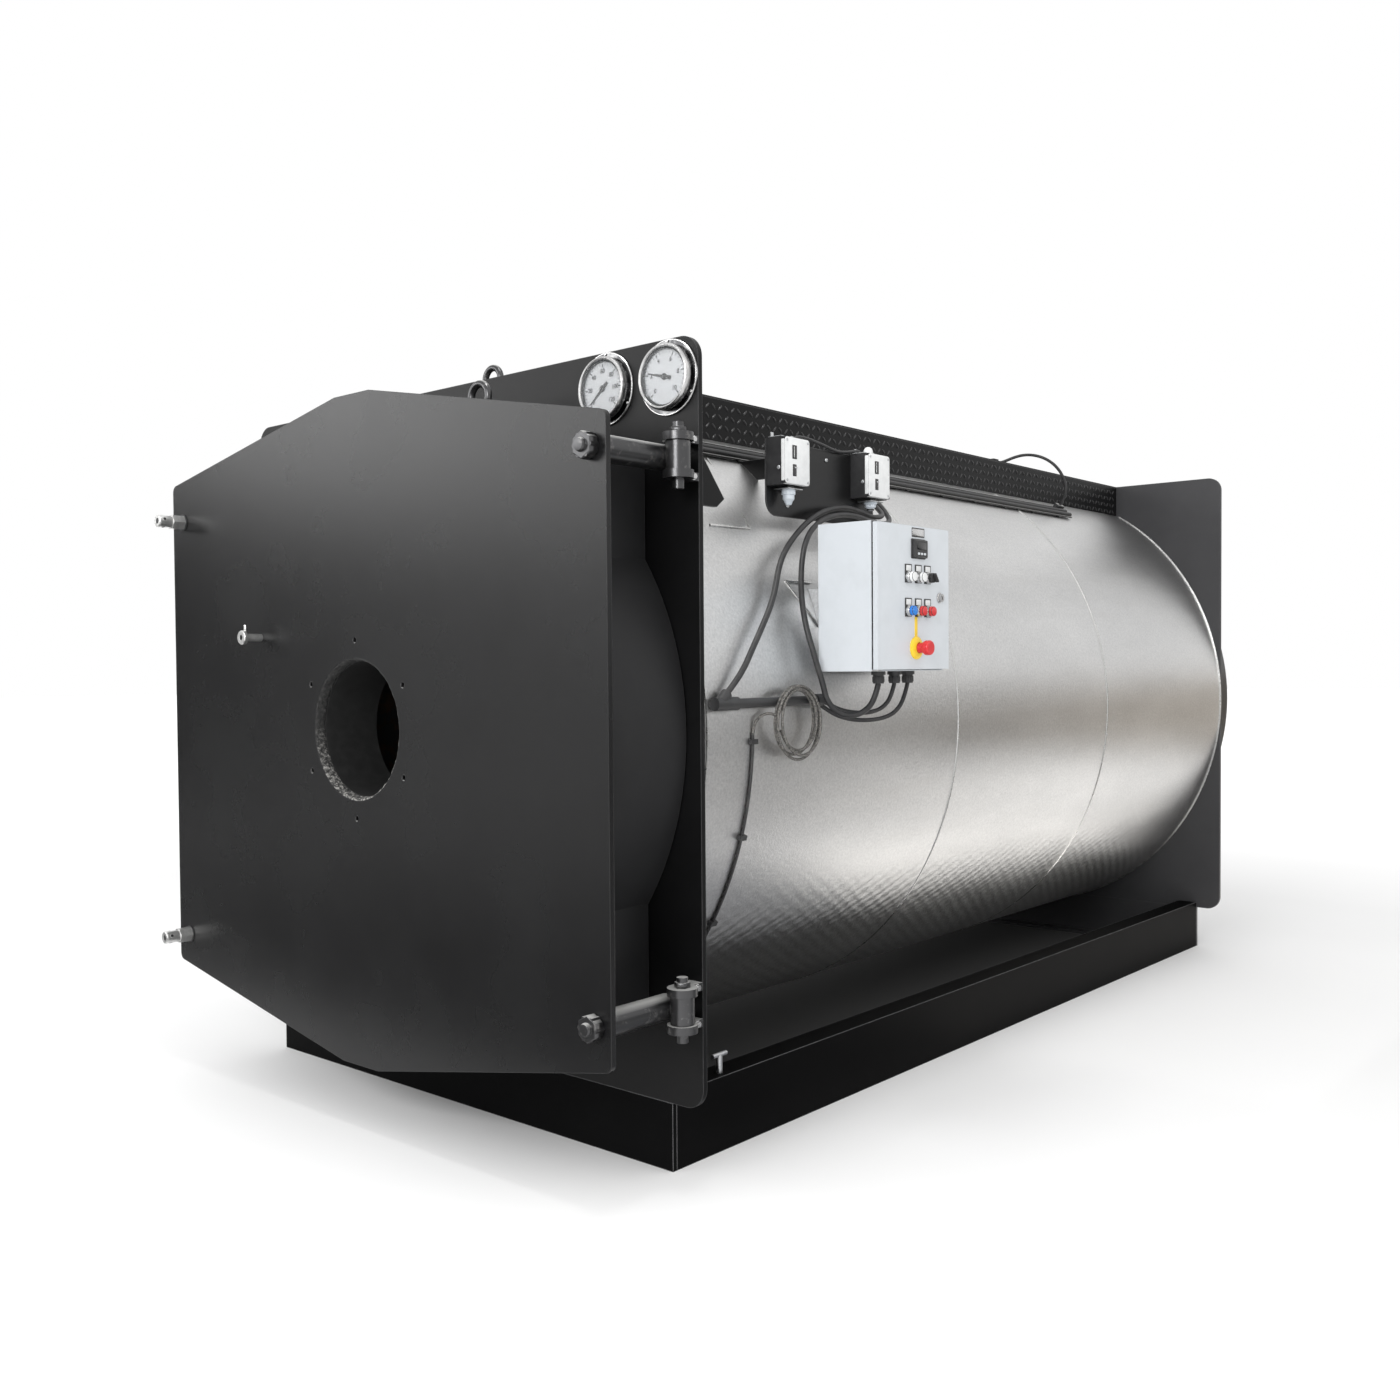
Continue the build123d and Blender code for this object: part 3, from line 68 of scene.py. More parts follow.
class Shade:
    """A shader socket. Maths on it adds Math nodes, and node() adds any other node."""

    def __init__(self, tree, socket=None):
        self.tree = tree
        self.socket = socket

    def node(self, kind, settings=None, sockets=None, out=0):
        made = self.tree.nodes.new("ShaderNode" + kind)
        for name, value in (settings or {}).items():
            if name == "stops":
                self.set_stops(made.color_ramp, value)
            else:
                setattr(made, name, value)
        for name, value in (sockets or {}).items():
            if isinstance(value, Shade):
                self.tree.links.new(value.socket, made.inputs[name])
            else:
                made.inputs[name].default_value = value
        return Shade(self.tree, made.outputs[out])

    @staticmethod
    def set_stops(ramp, stops):
        while len(ramp.elements) < len(stops):
            ramp.elements.new(1.0)
        for element, (place, grey) in zip(ramp.elements, stops):
            element.position = place
            element.color = (grey, grey, grey, 1.0)

    def math(self, operation, *values):
        return self.node("Math", {"operation": operation}, dict(enumerate(values)))

    def __add__(self, other):
        return self.math("ADD", self, other)

    __radd__ = __add__

    def __sub__(self, other):
        return self.math("SUBTRACT", self, other)

    def __rsub__(self, other):
        return self.math("SUBTRACT", other, self)

    def __mul__(self, other):
        return self.math("MULTIPLY", self, other)

    __rmul__ = __mul__

    def sine(self):
        return self.math("SINE", self)

    def ramp(self, low, high):
        """0 below low, 1 above high."""
        return self.node("ValToRGB", {"stops": ((low, 0.0), (high, 1.0))}, {0: self})

    def mix(self, first, second):
        """Colour between two, by this factor."""
        return self.node("Mix", {"data_type": "RGBA"}, {0: self, 6: first, 7: second}, 2)

    def place(self):
        return self.node("TexCoord", out="Object")

    def noise(self, scale, detail=3.0, roughness=0.55, stretch=None):
        where = self.place()
        if stretch:
            where = self.node("Mapping", sockets={"Vector": where, "Scale": stretch})
        sockets = {"Vector": where, "Scale": scale, "Detail": detail, "Roughness": roughness}
        return self.node("TexNoise", sockets=sockets)

    def fade(self, start, end, least=0.0):
        """Rises evenly from least at the start to 1 at the end."""
        sockets = {"Value": self, "From Min": start, "From Max": end, "To Min": least}
        return self.node("MapRange", sockets=sockets)

    def cells(self, scale):
        return self.node("TexVoronoi", {"feature": "SMOOTH_F1"}, {"Vector": self.place(), "Scale": scale})

    def axes(self):
        parts = self.node("SeparateXYZ", sockets={0: self.place()})
        return [Shade(self.tree, socket) for socket in parts.socket.node.outputs]

    def rubbed_and_lit_edge(self, radius):
        """1 along sharp edges, 0 on flat faces."""
        rounded = self.node("Bevel", {"samples": 6}, {"Radius": radius})
        flat = self.node("NewGeometry", out="Normal")
        level = self.node("VectorMath", {"operation": "DOT_PRODUCT"}, {0: rounded, 1: flat}, "Value")
        return (1.0 - level).ramp(0.02, 0.16)

    def bump(self, height, strength, distance, edge=0.0):
        sockets = {"Height": height, "Strength": strength, "Distance": distance}
        if edge:
            sockets["Normal"] = self.node("Bevel", {"samples": 4}, {"Radius": edge})
        return self.node("Bump", sockets=sockets)


def colour(red, green, blue):
    return red, green, blue, 1.0


def finish(name, recipe):
    """Material whose shader sockets come from a recipe."""
    made = bpy.data.materials.new(name)
    made.use_nodes = True
    shader = made.node_tree.nodes["Principled BSDF"]
    for socket, value in recipe(Shade(made.node_tree)).items():
        if isinstance(value, Shade):
            made.node_tree.links.new(value.socket, shader.inputs[socket])
        else:
            shader.inputs[socket].default_value = value
    return made


def painted(name, dark, dusty, rough, specular, bare):
    """Fine-textured black powder coat with a little dust, lighter along its edges: rubbed wear and painted edge
    highlight.
    """
    def recipe(shade):
        grain = shade.noise(420.0, 2.0)
        cloud = shade.noise(2.6, 5.0, 0.6)
        rub = shade.noise(28.0, 4.0, 0.65)
        tone = cloud.ramp(0.35, 0.75).mix(colour(dark, dark, 1.06 * dark), colour(dusty, dusty, 1.05 * dusty))
        fleck = (grain * 0.6 + rub * 0.4).ramp(0.62, 0.78) * 0.5
        specked = fleck.mix(tone, colour(2.6 * dusty, 2.6 * dusty, 2.6 * dusty))
        # Lighter sharp edges: rubbed wear and a painted highlight where light catches the edges.
        edge = shade.rubbed_and_lit_edge(0.0042) * (0.35 + rub * 0.9)
        return {
            "Base Color": edge.mix(specked, colour(bare, bare, 1.02 * bare)),
            "Roughness": rough + cloud * 0.10 - fleck * 0.1,
            "Specular IOR Level": specular,
            "Normal": shade.bump(grain, 0.30, 0.0010, 0.0025),
        }
    return finish(name, recipe)


def mottled(name, noise, ramp, first, second, rough, bump=None, **fixed):
    """Finish in two colours that noise mixes.

    noise is (scale, detail, roughness), ramp (low, high), rough (least, what the noise adds) and bump
    (its own noise, strength, distance, edge radius). Other shader sockets are fixed.
    """
    def recipe(shade):
        mark = shade.noise(*noise)
        least, added = rough
        sockets = {
            "Base Color": mark.ramp(*ramp).mix(colour(*first), colour(*second)),
            "Roughness": least + mark * added,
        }
        if bump:
            grain, *relief = bump
            sockets["Normal"] = shade.bump(shade.noise(*grain), *relief)
        return {**sockets, **fixed}
    return finish(name, recipe)


# Embossed lozenges of the jacket, and how far below its axis they begin to show and stand full
EMBOSS_LENGTH = 0.074
EMBOSS_WIDTH = 0.044
EMBOSS_BEGIN = 0.40
EMBOSS_FULL = 0.70


def jacket_skin(shade):
    """Embossed aluminium sheet: slanting lozenges, fine stucco, cloudy rolling marks and dull smears."""
    x, y, z = shade.axes()
    around = shade.math("ARCTAN2", z - AXIS_Z, x) * (2 * pi * JACKET_RADIUS / EMBOSS_WIDTH)
    along = y * (2 * pi / EMBOSS_LENGTH)
    drift = shade.noise(22.0, 3.0) * 5.0
    low = z.fade(AXIS_Z - EMBOSS_BEGIN, AXIS_Z - EMBOSS_FULL, 0.04)
    lozenge = ((around + along + drift).sine() + (around - along - drift).sine()) * low
    stucco = shade.noise(140.0, 4.0, 0.70)
    cloud = shade.noise(3.0, 4.0, 0.6, (1.0, 0.35, 1.0))
    streak = shade.noise(16.0, 4.0, 0.6, (1.0, 0.08, 1.0))
    grain = (cloud * 0.4 + stucco * 0.6).ramp(0.36, 0.66)
    tone = grain.mix(colour(0.50, 0.50, 0.50), colour(0.72, 0.717, 0.71))
    return {
        "Base Color": (streak.ramp(0.55, 0.85) * 0.35).mix(tone, colour(0.50, 0.49, 0.475)),
        "Metallic": 1.0,
        "Roughness": 0.23 + cloud * 0.10 + stucco * 0.08,
        "Normal": shade.bump(lozenge * 0.62 + stucco * 1.3, 0.44, 0.0016),
    }


def zinc_steel(shade):
    """Zinc-plated steel with dull spangles."""
    spangle = shade.cells(160.0)
    stain = shade.noise(22.0, 5.0, 0.65)
    tone = spangle.ramp(0.1, 0.7).mix(colour(0.62, 0.63, 0.64), colour(0.50, 0.51, 0.52))
    return {
        "Base Color": (stain.ramp(0.58, 0.8) * 0.4).mix(tone, colour(0.30, 0.28, 0.25)),
        "Metallic": 1.0,
        "Roughness": 0.28 + stain * 0.2,
        "Normal": shade.bump(stain, 0.12, 0.0006, 0.0008),
    }


def worn_black_steel(shade):
    """Oily blackened steel of the hinges, worn bright where it rubs, with lighter, duller top faces: dust and
    painted highlight.
    """
    rub = shade.noise(34.0, 5.0, 0.7)
    grain = shade.noise(260.0, 2.0)
    wear = rub.ramp(0.56, 0.74)
    facing = shade.node("SeparateXYZ", sockets={0: shade.node("NewGeometry", out="Normal")}, out="Z")
    # Top faces: dust and a painted highlight, as from light above.
    top_dust_and_highlight = facing.ramp(0.60, 0.92)
    dull = wear.mix(colour(0.075, 0.075, 0.077), colour(0.22, 0.215, 0.21))
    return {
        "Base Color": top_dust_and_highlight.mix(dull, colour(0.40, 0.40, 0.39)),
        "Metallic": 0.90 - top_dust_and_highlight * 0.80,
        "Roughness": 0.27 + top_dust_and_highlight * 0.25 + grain * 0.06,
        "Normal": shade.bump(rub * 0.6 + grain * 0.4, 0.15, 0.0008, 0.0015),
    }


def mill_scale(shade):
    """Boiler plate inside the smokebox: grey scale with rust bloom and soot."""
    bloom = shade.noise(14.0, 6.0, 0.7)
    soot = shade.noise(5.0, 5.0, 0.65)
    tone = bloom.ramp(0.48, 0.7).mix(colour(0.075, 0.072, 0.070), colour(0.17, 0.085, 0.045))
    return {
        "Base Color": soot.ramp(0.5, 0.75).mix(tone, colour(0.02, 0.02, 0.02)),
        "Metallic": 0.35,
        "Roughness": 0.55 + bloom * 0.25,
        "Normal": shade.bump(bloom, 0.35, 0.0015),
    }


def cast_refractory(shade):
    """Rough cast lining: sandy grey with pits, pale aggregate and soot streaks."""
    stone = shade.cells(70.0)
    grit = shade.noise(180.0, 4.0, 0.7)
    soot = shade.noise(7.0, 5.0, 0.65)
    tone = stone.ramp(0.15, 0.6).mix(colour(0.30, 0.29, 0.275), colour(0.15, 0.145, 0.138))
    return {
        "Base Color": soot.ramp(0.46, 0.72).mix(tone, colour(0.045, 0.043, 0.042)),
        "Roughness": 0.88 + grit * 0.1,
        "Normal": shade.bump(stone * 0.7 + grit * 0.5, 0.7, 0.006),
    }


def fibre_packing(shade):
    """Frayed fibre round the burner opening: dark, with pale speckle that grows towards the bottom as painted
    light falling from above.
    """
    # Painted light: the speckle is made paler towards the bottom of the opening, where light from above falls.
    low = shade.axes()[2].fade(AXIS_Z + 0.01, AXIS_Z - 0.15)
    speck = shade.noise(120.0, 5.0, 0.75).ramp(0.47, 0.62) * (0.06 + low * 0.80)
    tuft = shade.noise(60.0, 4.0, 0.7)
    return {
        "Base Color": speck.mix(colour(0.014, 0.014, 0.014), colour(0.42, 0.41, 0.39)),
        "Roughness": 0.85 + tuft * 0.1,
        "Normal": shade.bump(tuft, 0.8, 0.006),
    }


def moulded(name, base, speck, rough=0.38):
    """Moulded plastic in one colour, a little uneven."""
    return mottled(name, (40.0, 4.0, 0.6), (0.4, 0.75), base, speck, (rough, 0.12),
                   ((700.0, 2.0), 0.1, 0.0003, 0.0006))


def clear_glass(shade):
    """Thin window glass with a faint smear."""
    smear = shade.noise(30.0, 4.0, 0.6)
    return {
        "Base Color": colour(0.9, 0.93, 0.95),
        "Roughness": 0.04 + smear.ramp(0.5, 0.9) * 0.08,
        "Alpha": 0.05 + smear.ramp(0.55, 0.95) * 0.04,
    }


# One black powder coat in lit and shaded copies. Painted shade: the front plate, skid and walkway are darker.
# Painted light: the casing, rear plate and skid rear beam are lighter. Painted highlight: the walkway lozenges
# are lighter and shinier.
BLACK = painted("black_powder_coat", 0.0046, 0.0076, 0.25, 0.30, 0.10)
DOOR = painted("door_black", 0.0046, 0.0076, 0.22, 0.30, 0.03)
PLATE = painted("front_plate_black_painted_shade", 0.0040, 0.0066, 0.32, 0.16, 0.07)
CASING = painted("casing_black_painted_light", 0.0120, 0.0180, 0.40, 0.25, 0.05)
REAR = painted("rear_plate_black_painted_light", 0.0360, 0.0480, 0.45, 0.25, 0.07)
SKID = painted("skid_black_painted_shade", 0.0018, 0.0030, 0.55, 0.045, 0.20)
DECK = painted("walkway_black_painted_shade", 0.0038, 0.0062, 0.34, 0.12, 0.08)
TREAD = painted("walkway_lozenges_painted_highlight", 0.0110, 0.0190, 0.25, 0.40, 0.06)
JACKET = finish("embossed_aluminium", jacket_skin)
ZINC = finish("zinc_plated_steel", zinc_steel)
HINGE = finish("oiled_hinge_steel", worn_black_steel)
SCALE = finish("scaled_boiler_plate", mill_scale)
REFRACTORY = finish("cast_refractory", cast_refractory)
FIBRE = finish("fibre_packing", fibre_packing)
GLASS = finish("window_glass", clear_glass)
TRIM = mottled("rolled_trim", (60.0, 3.0, 0.6), (0.3, 0.8), (0.60, 0.60, 0.59), (0.48, 0.48, 0.47),
               (0.20, 0.16), ((60.0, 3.0, 0.6), 0.08, 0.0005), Metallic=1.0)
STAINLESS = mottled("stainless_steel", (18.0, 4.0, 0.6), (0.35, 0.8), (0.62, 0.62, 0.62),
                    (0.42, 0.415, 0.41), (0.20, 0.14), ((240.0, 2.0, 0.5), 0.06, 0.0003, 0.0006),
                    Metallic=1.0)
BOLT = mottled("bright_bolt", (40.0, 4.0, 0.6), (0.4, 0.8), (0.80, 0.80, 0.79), (0.50, 0.50, 0.49),
               (0.24, 0.16), ((40.0, 4.0, 0.6), 0.10, 0.0004, 0.0006), Metallic=0.94)
# Painted reflection: the gauge cases and flanges are chrome painted dark, for the dark surroundings that real
# chrome mirrors.
CASE = mottled("chrome_painted_dark_reflection", (22.0, 4.0, 0.6), (0.45, 0.7), (0.055, 0.055, 0.057), (0.30, 0.30, 0.30),
               (0.14, 0.12), Metallic=1.0)
GREY = mottled("cabinet_powder_coat", (11.0, 5.0, 0.65), (0.45, 0.8), (0.565, 0.595, 0.625),
               (0.52, 0.55, 0.575), (0.34, 0.16), ((330.0, 2.0), 0.12, 0.0005, 0.0012))
CABLE = mottled("rubber_cable", (30.0, 5.0, 0.65), (0.45, 0.75), (0.012, 0.012, 0.013), (0.035, 0.034, 0.034),
                (0.34, 0.22), ((500.0, 2.0), 0.15, 0.0004))
BRAID = mottled("cable_braid", (260.0, 3.0, 0.7), (0.42, 0.60), (0.016, 0.016, 0.016), (0.19, 0.18, 0.165),
                (0.42, 0.15), ((260.0, 3.0, 0.7), 0.5, 0.0012))
DIAL = mottled("white_dial", (26.0, 4.0, 0.6), (0.4, 0.85), (0.36, 0.37, 0.385), (0.33, 0.335, 0.34),
               (0.30, 0.15))
PLASTIC = moulded("black_moulding", (0.018, 0.018, 0.019), (0.028, 0.028, 0.029))
WHITE = moulded("white_moulding", (0.72, 0.73, 0.73), (0.64, 0.65, 0.65))
BLUE = moulded("blue_lens", (0.02, 0.16, 0.55), (0.03, 0.22, 0.62), 0.2)
RED = moulded("red_moulding", (0.55, 0.02, 0.025), (0.62, 0.05, 0.05), 0.25)
YELLOW = moulded("yellow_moulding", (0.82, 0.56, 0.02), (0.74, 0.50, 0.03), 0.35)
SMOKED = moulded("smoked_window", (0.008, 0.008, 0.009), (0.014, 0.014, 0.015), 0.1)
PALE = moulded("pale_moulding", (0.60, 0.65, 0.70), (0.52, 0.57, 0.62), 0.3)
SOOT = moulded("sooty_sleeve", (0.010, 0.010, 0.010), (0.018, 0.018, 0.018), 0.6)

NODE_FINISHES = {
    SKID: ["skid_rail_left", "skid_rail_right", "skid_front_beam"],
    BLACK: ["rear_smokebox", "rear_cover", "flue_collar", "switch_bracket", "flow_nozzle", "return_nozzle",
            "closing_bosses"],
    DOOR: ["door_plate"],
    PLATE: ["front_plate", "plate_gussets"],
    CASING: ["door_casing"],
    # The skid's rear beam takes the rear plate's lighter paint, as painted light.
    REAR: ["rear_plate", "skid_rear_beam"],
    DECK: ["deck_top", "deck_side_left", "deck_side_right"],
    SCALE: ["pressure_shell", "furnace_tube", "smoke_tube_ends"],
    JACKET: ["cladding_front", "cladding_middle", "cladding_rear"],
    REFRACTORY: ["door_lining"],
    BOLT: ["closing_bolts", "sight_glass"],
    STAINLESS: ["cabinet_lock"],
    CASE: ["temperature_gauge", "pressure_gauge"],
    ZINC: ["drain_cock", "cabinet_brackets", "cabinet_back_plate", "cabinet_hinge_tabs"],
    HINGE: ["hinge_arms", "hinge_lugs", "lifting_eyes", "door_eye", "cable_tray"],
    GREY: ["cabinet_box", "cabinet_panel"],
    PLASTIC: ["cabinet_controller", "cabinet_buttons", "cabinet_lamps", "cable_glands", "conduit_pipe",
              "cable_clips", "pressure_switch_front", "pressure_switch_rear"],
    CABLE: ["clipped_cable", "tray_cables"],
    RED: ["emergency_stop"],
}
for look, names in NODE_FINISHES.items():
    for node_name in names:
        NODES[node_name].data.materials.clear()
        NODES[node_name].data.materials.append(look)


def shown(obj, look, body="boiler", smooth=35.0):
    """Links a finished object, gives it its look and slot and lets it ride on a body."""
    bpy.context.collection.objects.link(obj)
    obj.data.materials.clear()
    obj.data.materials.append(look)
    if obj.type == "MESH" and smooth:
        obj.data.shade_smooth()
        obj.data.set_sharp_from_angle(angle=radians(smooth))
    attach(obj, body)
    return obj


def piece(name, shape, look, body="boiler", smooth=35.0):
    """Object from a bmesh whose place is already in its vertices."""
    mesh = bpy.data.meshes.new(name)
    shape.to_mesh(mesh)
    shape.free()
    return shown(bpy.data.objects.new(name, mesh), look, body, smooth)


def moved(shape, *steps):
    """Applies transforms to a whole bmesh, the first step first."""
    for step in steps:
        bmesh.ops.transform(shape, matrix=step, verts=shape.verts)
    return shape


def gathered(shapes):
    """One bmesh from several."""
    whole = bmesh.new()
    for shape in shapes:
        mesh = bpy.data.meshes.new("gathered")
        shape.to_mesh(mesh)
        shape.free()
        whole.from_mesh(mesh)
        bpy.data.meshes.remove(mesh)
    return whole


def at(x, y, z):
    return Matrix.Translation((x, y, z))


def spun(angle):
    return Matrix.Rotation(angle, 4, "Z")


def ring_of(count, radius, start=0.0):
    """Places round a circle in the XY plane."""
    return [spun(start + 2 * pi * step / count) @ at(radius, 0, 0) for step in range(count)]


def repeated(shape, places):
    """One bmesh with a copy of a shape at each place."""
    pattern = bpy.data.meshes.new("pattern")
    shape.to_mesh(pattern)
    shape.free()
    whole = bmesh.new()
    for place in places:
        copy = pattern.copy()
        copy.transform(place)
        whole.from_mesh(copy)
        bpy.data.meshes.remove(copy)
    bpy.data.meshes.remove(pattern)
    return whole


def swept(points, centre, axis, angle, steps, closed=False):
    """Bmesh spun from a line of points."""
    shape = bmesh.new()
    corners = [shape.verts.new(point) for point in points]
    edges = [shape.edges.new(pair) for pair in zip(corners, corners[1:])]
    bmesh.ops.spin(shape, geom=corners + edges, cent=centre, axis=axis, angle=angle, steps=steps,
                   use_merge=closed)
    if closed:
        bmesh.ops.remove_doubles(shape, verts=shape.verts, dist=1e-6)
    bmesh.ops.recalc_face_normals(shape, faces=shape.faces)
    return shape


def turned(profile, steps):
    """Full turn about Z from (radius, height) points."""
    points = [(radius, 0.0, height) for radius, height in profile]
    return swept(points, (0, 0, 0), (0, 0, 1), 2 * pi, steps, True)


def band(profile, start, sweep, steps):
    """Strip round the boiler's axis from (radius, y) points. The sweep runs clockwise seen from the front."""
    points = [(radius * cos(start), y, AXIS_Z + radius * sin(start)) for radius, y in profile]
    return swept(points, (0, 0, AXIS_Z), (0, 1, 0), sweep, steps)


def printed_arc(inner, outer, start, sweep):
    """Thin flat arc in the XY plane."""
    points = [(radius * cos(start), radius * sin(start), 0.0) for radius in (inner, outer)]
    return swept(points, (0, 0, 0), (0, 0, 1), sweep, 64)


def box(size):
    """Sharp box about the origin."""
    shape = bmesh.new()
    bmesh.ops.create_cube(shape, size=1.0)
    bmesh.ops.scale(shape, vec=size, verts=shape.verts)
    return shape


def soften(shape, edges, offset, segments):
    """Bevels some edges of a bmesh."""
    bmesh.ops.bevel(shape, geom=edges, offset=offset, offset_type="OFFSET", affect="EDGES",
                    segments=segments, profile=0.5, material=-1)
    return shape


def slab(size, round_off, segments=2):
    """Box about the origin with softened edges."""
    shape = box(size)
    return soften(shape, shape.edges[:], round_off, segments)


def plate(width, height, thickness, corner, soft):
    """Flat plate in the XY plane with rounded corners and a soft front edge, its back on Z = 0."""
    shape = box((width, height, thickness))
    bmesh.ops.translate(shape, vec=(0, 0, thickness / 2), verts=shape.verts)
    upright = [edge for edge in shape.edges if edge.verts[0].co.z != edge.verts[1].co.z]
    soften(shape, upright, corner, 5)
    rim = [edge for edge in shape.edges if min(vert.co.z for vert in edge.verts) > 0.9 * thickness]
    return soften(shape, rim, soft, 2)


def hexagon(radius, height, chamfer):
    """Hexagonal nut or head standing on the plane Z = 0."""
    shape = bmesh.new()
    bmesh.ops.create_cone(shape, cap_ends=True, segments=6, radius1=radius, radius2=radius, depth=height)
    bmesh.ops.translate(shape, vec=(0, 0, height / 2), verts=shape.verts)
    return soften(shape, shape.edges[:], chamfer, 1)


def bolt_head(size):
    """Hexagonal head on its washer, standing on the plane Z = 0."""
    washer = turned([(0, 0), (size, 0), (size, 0.16 * size), (0.92 * size, 0.22 * size),
                     (0, 0.22 * size)], 24)
    head = moved(hexagon(0.8 * size, 0.6 * size, 0.06 * size), at(0, 0, 0.2 * size))
    return gathered([washer, head])


def screw(radius, height):
    """Pan-head screw with a cross slot's rim, standing on the plane Z = 0."""
    return turned([(0, 0), (radius, 0), (radius, 0.4 * height), (0.75 * radius, 0.9 * height),
                   (0.3 * radius, height), (0.26 * radius, 0.6 * height), (0, 0.6 * height)], 16)


def words(text, size):
    """Flat text mesh centred on the origin in the XY plane."""
    letters = bpy.data.curves.new("letters", "FONT")
    letters.body = text
    letters.size = size
    letters.align_x = "CENTER"
    letters.align_y = "CENTER"
    letters.extrude = 0.0001
    letters.offset = 0.0005
    holder = bpy.data.objects.new("letters", letters)
    mesh = bpy.data.meshes.new_from_object(holder)
    shape = bmesh.new()
    shape.from_mesh(mesh)
    bpy.data.objects.remove(holder)
    bpy.data.curves.remove(letters)
    bpy.data.meshes.remove(mesh)
    return shape


# Free cables: the route's points are those of the part's source, in metres
ROUTES = {
    "tray_lead_front": [
        (0.6456, 1.055, 1.8782), (0.694, 1.057, 1.842), (0.744, 1.052, 1.802), (0.798, 1.03, 1.764),
        (0.842, 0.99, 1.738), (0.866, 0.93, 1.725), (0.868, 0.889, 1.721), (0.868, 0.815, 1.736),
        (0.87, 0.734, 1.74), (0.876, 0.635, 1.722), (0.888, 0.536, 1.683), (0.904, 0.444, 1.628),
        (0.92, 0.378, 1.579), (0.936, 0.334, 1.53), (0.953, 0.299, 1.477), (0.968, 0.257, 1.428),
        (0.983, 0.206, 1.38), (0.996, 0.15, 1.324), (1.003, 0.09, 1.252), (0.9996, 0.0386, 1.2087),
    ],
    "tray_lead_cabinet": [
        (0.6456, 1.087, 1.8782), (0.696, 1.094, 1.841), (0.752, 1.086, 1.798), (0.809, 1.057, 1.754),
        (0.857, 1.007, 1.72), (0.885, 0.937, 1.703), (0.892, 0.853, 1.701), (0.892, 0.769, 1.715),
        (0.893, 0.681, 1.712), (0.897, 0.596, 1.692), (0.906, 0.528, 1.658), (0.92, 0.478, 1.615),
        (0.936, 0.442, 1.565), (0.953, 0.414, 1.514), (0.97, 0.393, 1.464), (0.986, 0.38, 1.417),
        (1, 0.376, 1.372), (1.013, 0.38, 1.326), (1.025, 0.388, 1.276), (1.036, 0.398, 1.226),
        (1.04, 0.409, 1.182), (1.053, 0.438, 1.15), (1.071, 0.479, 1.138), (1.088, 0.519, 1.15),
        (1.1005, 0.549, 1.182), (1.105, 0.56, 1.226),
    ],
    "gland_lead_front": [
        (1.105, 0.64, 1.226), (1.1007, 0.63, 1.186), (1.089, 0.603, 1.157), (1.073, 0.567, 1.146),
        (1.053, 0.527, 1.146), (1.033, 0.489, 1.153), (1.016, 0.462, 1.168), (1.0066, 0.436, 1.181),
    ],
    "gland_lead_rear": [
        (1.105, 0.708, 1.226), (1.1007, 0.695, 1.176), (1.089, 0.661, 1.1395), (1.073, 0.613, 1.126),
        (1.053, 0.556, 1.124), (1.033, 0.506, 1.131), (1.012, 0.466, 1.148), (0.9926, 0.436, 1.174),
    ],
    "spare_lead": [
        (0.9893, 0.155, 1.1), (0.9902, 0.157, 1.122), (0.995, 0.167, 1.142), (1.004, 0.185, 1.154),
        (1.014, 0.205, 1.154), (1.0194, 0.221, 1.147),
    ],
    "deck_lead": [
        (0.5815, 2.735, 1.9396), (0.608, 2.733, 1.975), (0.613, 2.723, 2.022), (0.602, 2.706, 2.068),
        (0.576, 2.684, 2.108), (0.541, 2.657, 2.134), (0.507, 2.628, 2.144), (0.481, 2.597, 2.142),
        (0.458, 2.565, 2.131), (0.442, 2.532, 2.116), (0.432, 2.499, 2.105), (0.426, 2.467, 2.102),
    ],
}
LEAD_FACTS = {
    "tray_lead_front": (0.016, 1.43, "medium"),
    "tray_lead_cabinet": (0.016, 1.55, "medium"),
    "gland_lead_front": (0.012, 0.275, "medium"),
    "gland_lead_rear": (0.012, 0.36, "medium"),
    "deck_lead": (0.012, 0.478, "medium"),
}
COIL_TURNS = 4
COIL_STEPS = 16
COIL_SAG = 0.020
COIL_LOOSENESS = 0.8
COIL_LOW, COIL_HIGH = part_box("spare_coil")
THIN_DIAMETER = 0.008


def cable(name, points, diameter, look=CABLE):
    """Smooth round cable along its route."""
    curve = bpy.data.curves.new(name, "CURVE")
    curve.dimensions = "3D"
    curve.bevel_depth = diameter / 2
    curve.bevel_resolution = 4
    curve.use_fill_caps = True
    line = curve.splines.new("NURBS")
    line.points.add(len(points) - 1)
    for knot, point in zip(line.points, points):
        knot.co = (*point, 1.0)
    line.order_u = 3
    line.use_endpoint_u = True
    line.resolution_u = 6
    return shown(bpy.data.objects.new(name, curve), look)


def free_leads():
    """Cables between the tray, the glands, the conduit and the deck."""
    for name, (diameter, length, stiffness) in LEAD_FACTS.items():
        lead = cable(name + "_cable", ROUTES[name], diameter)
        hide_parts(name)


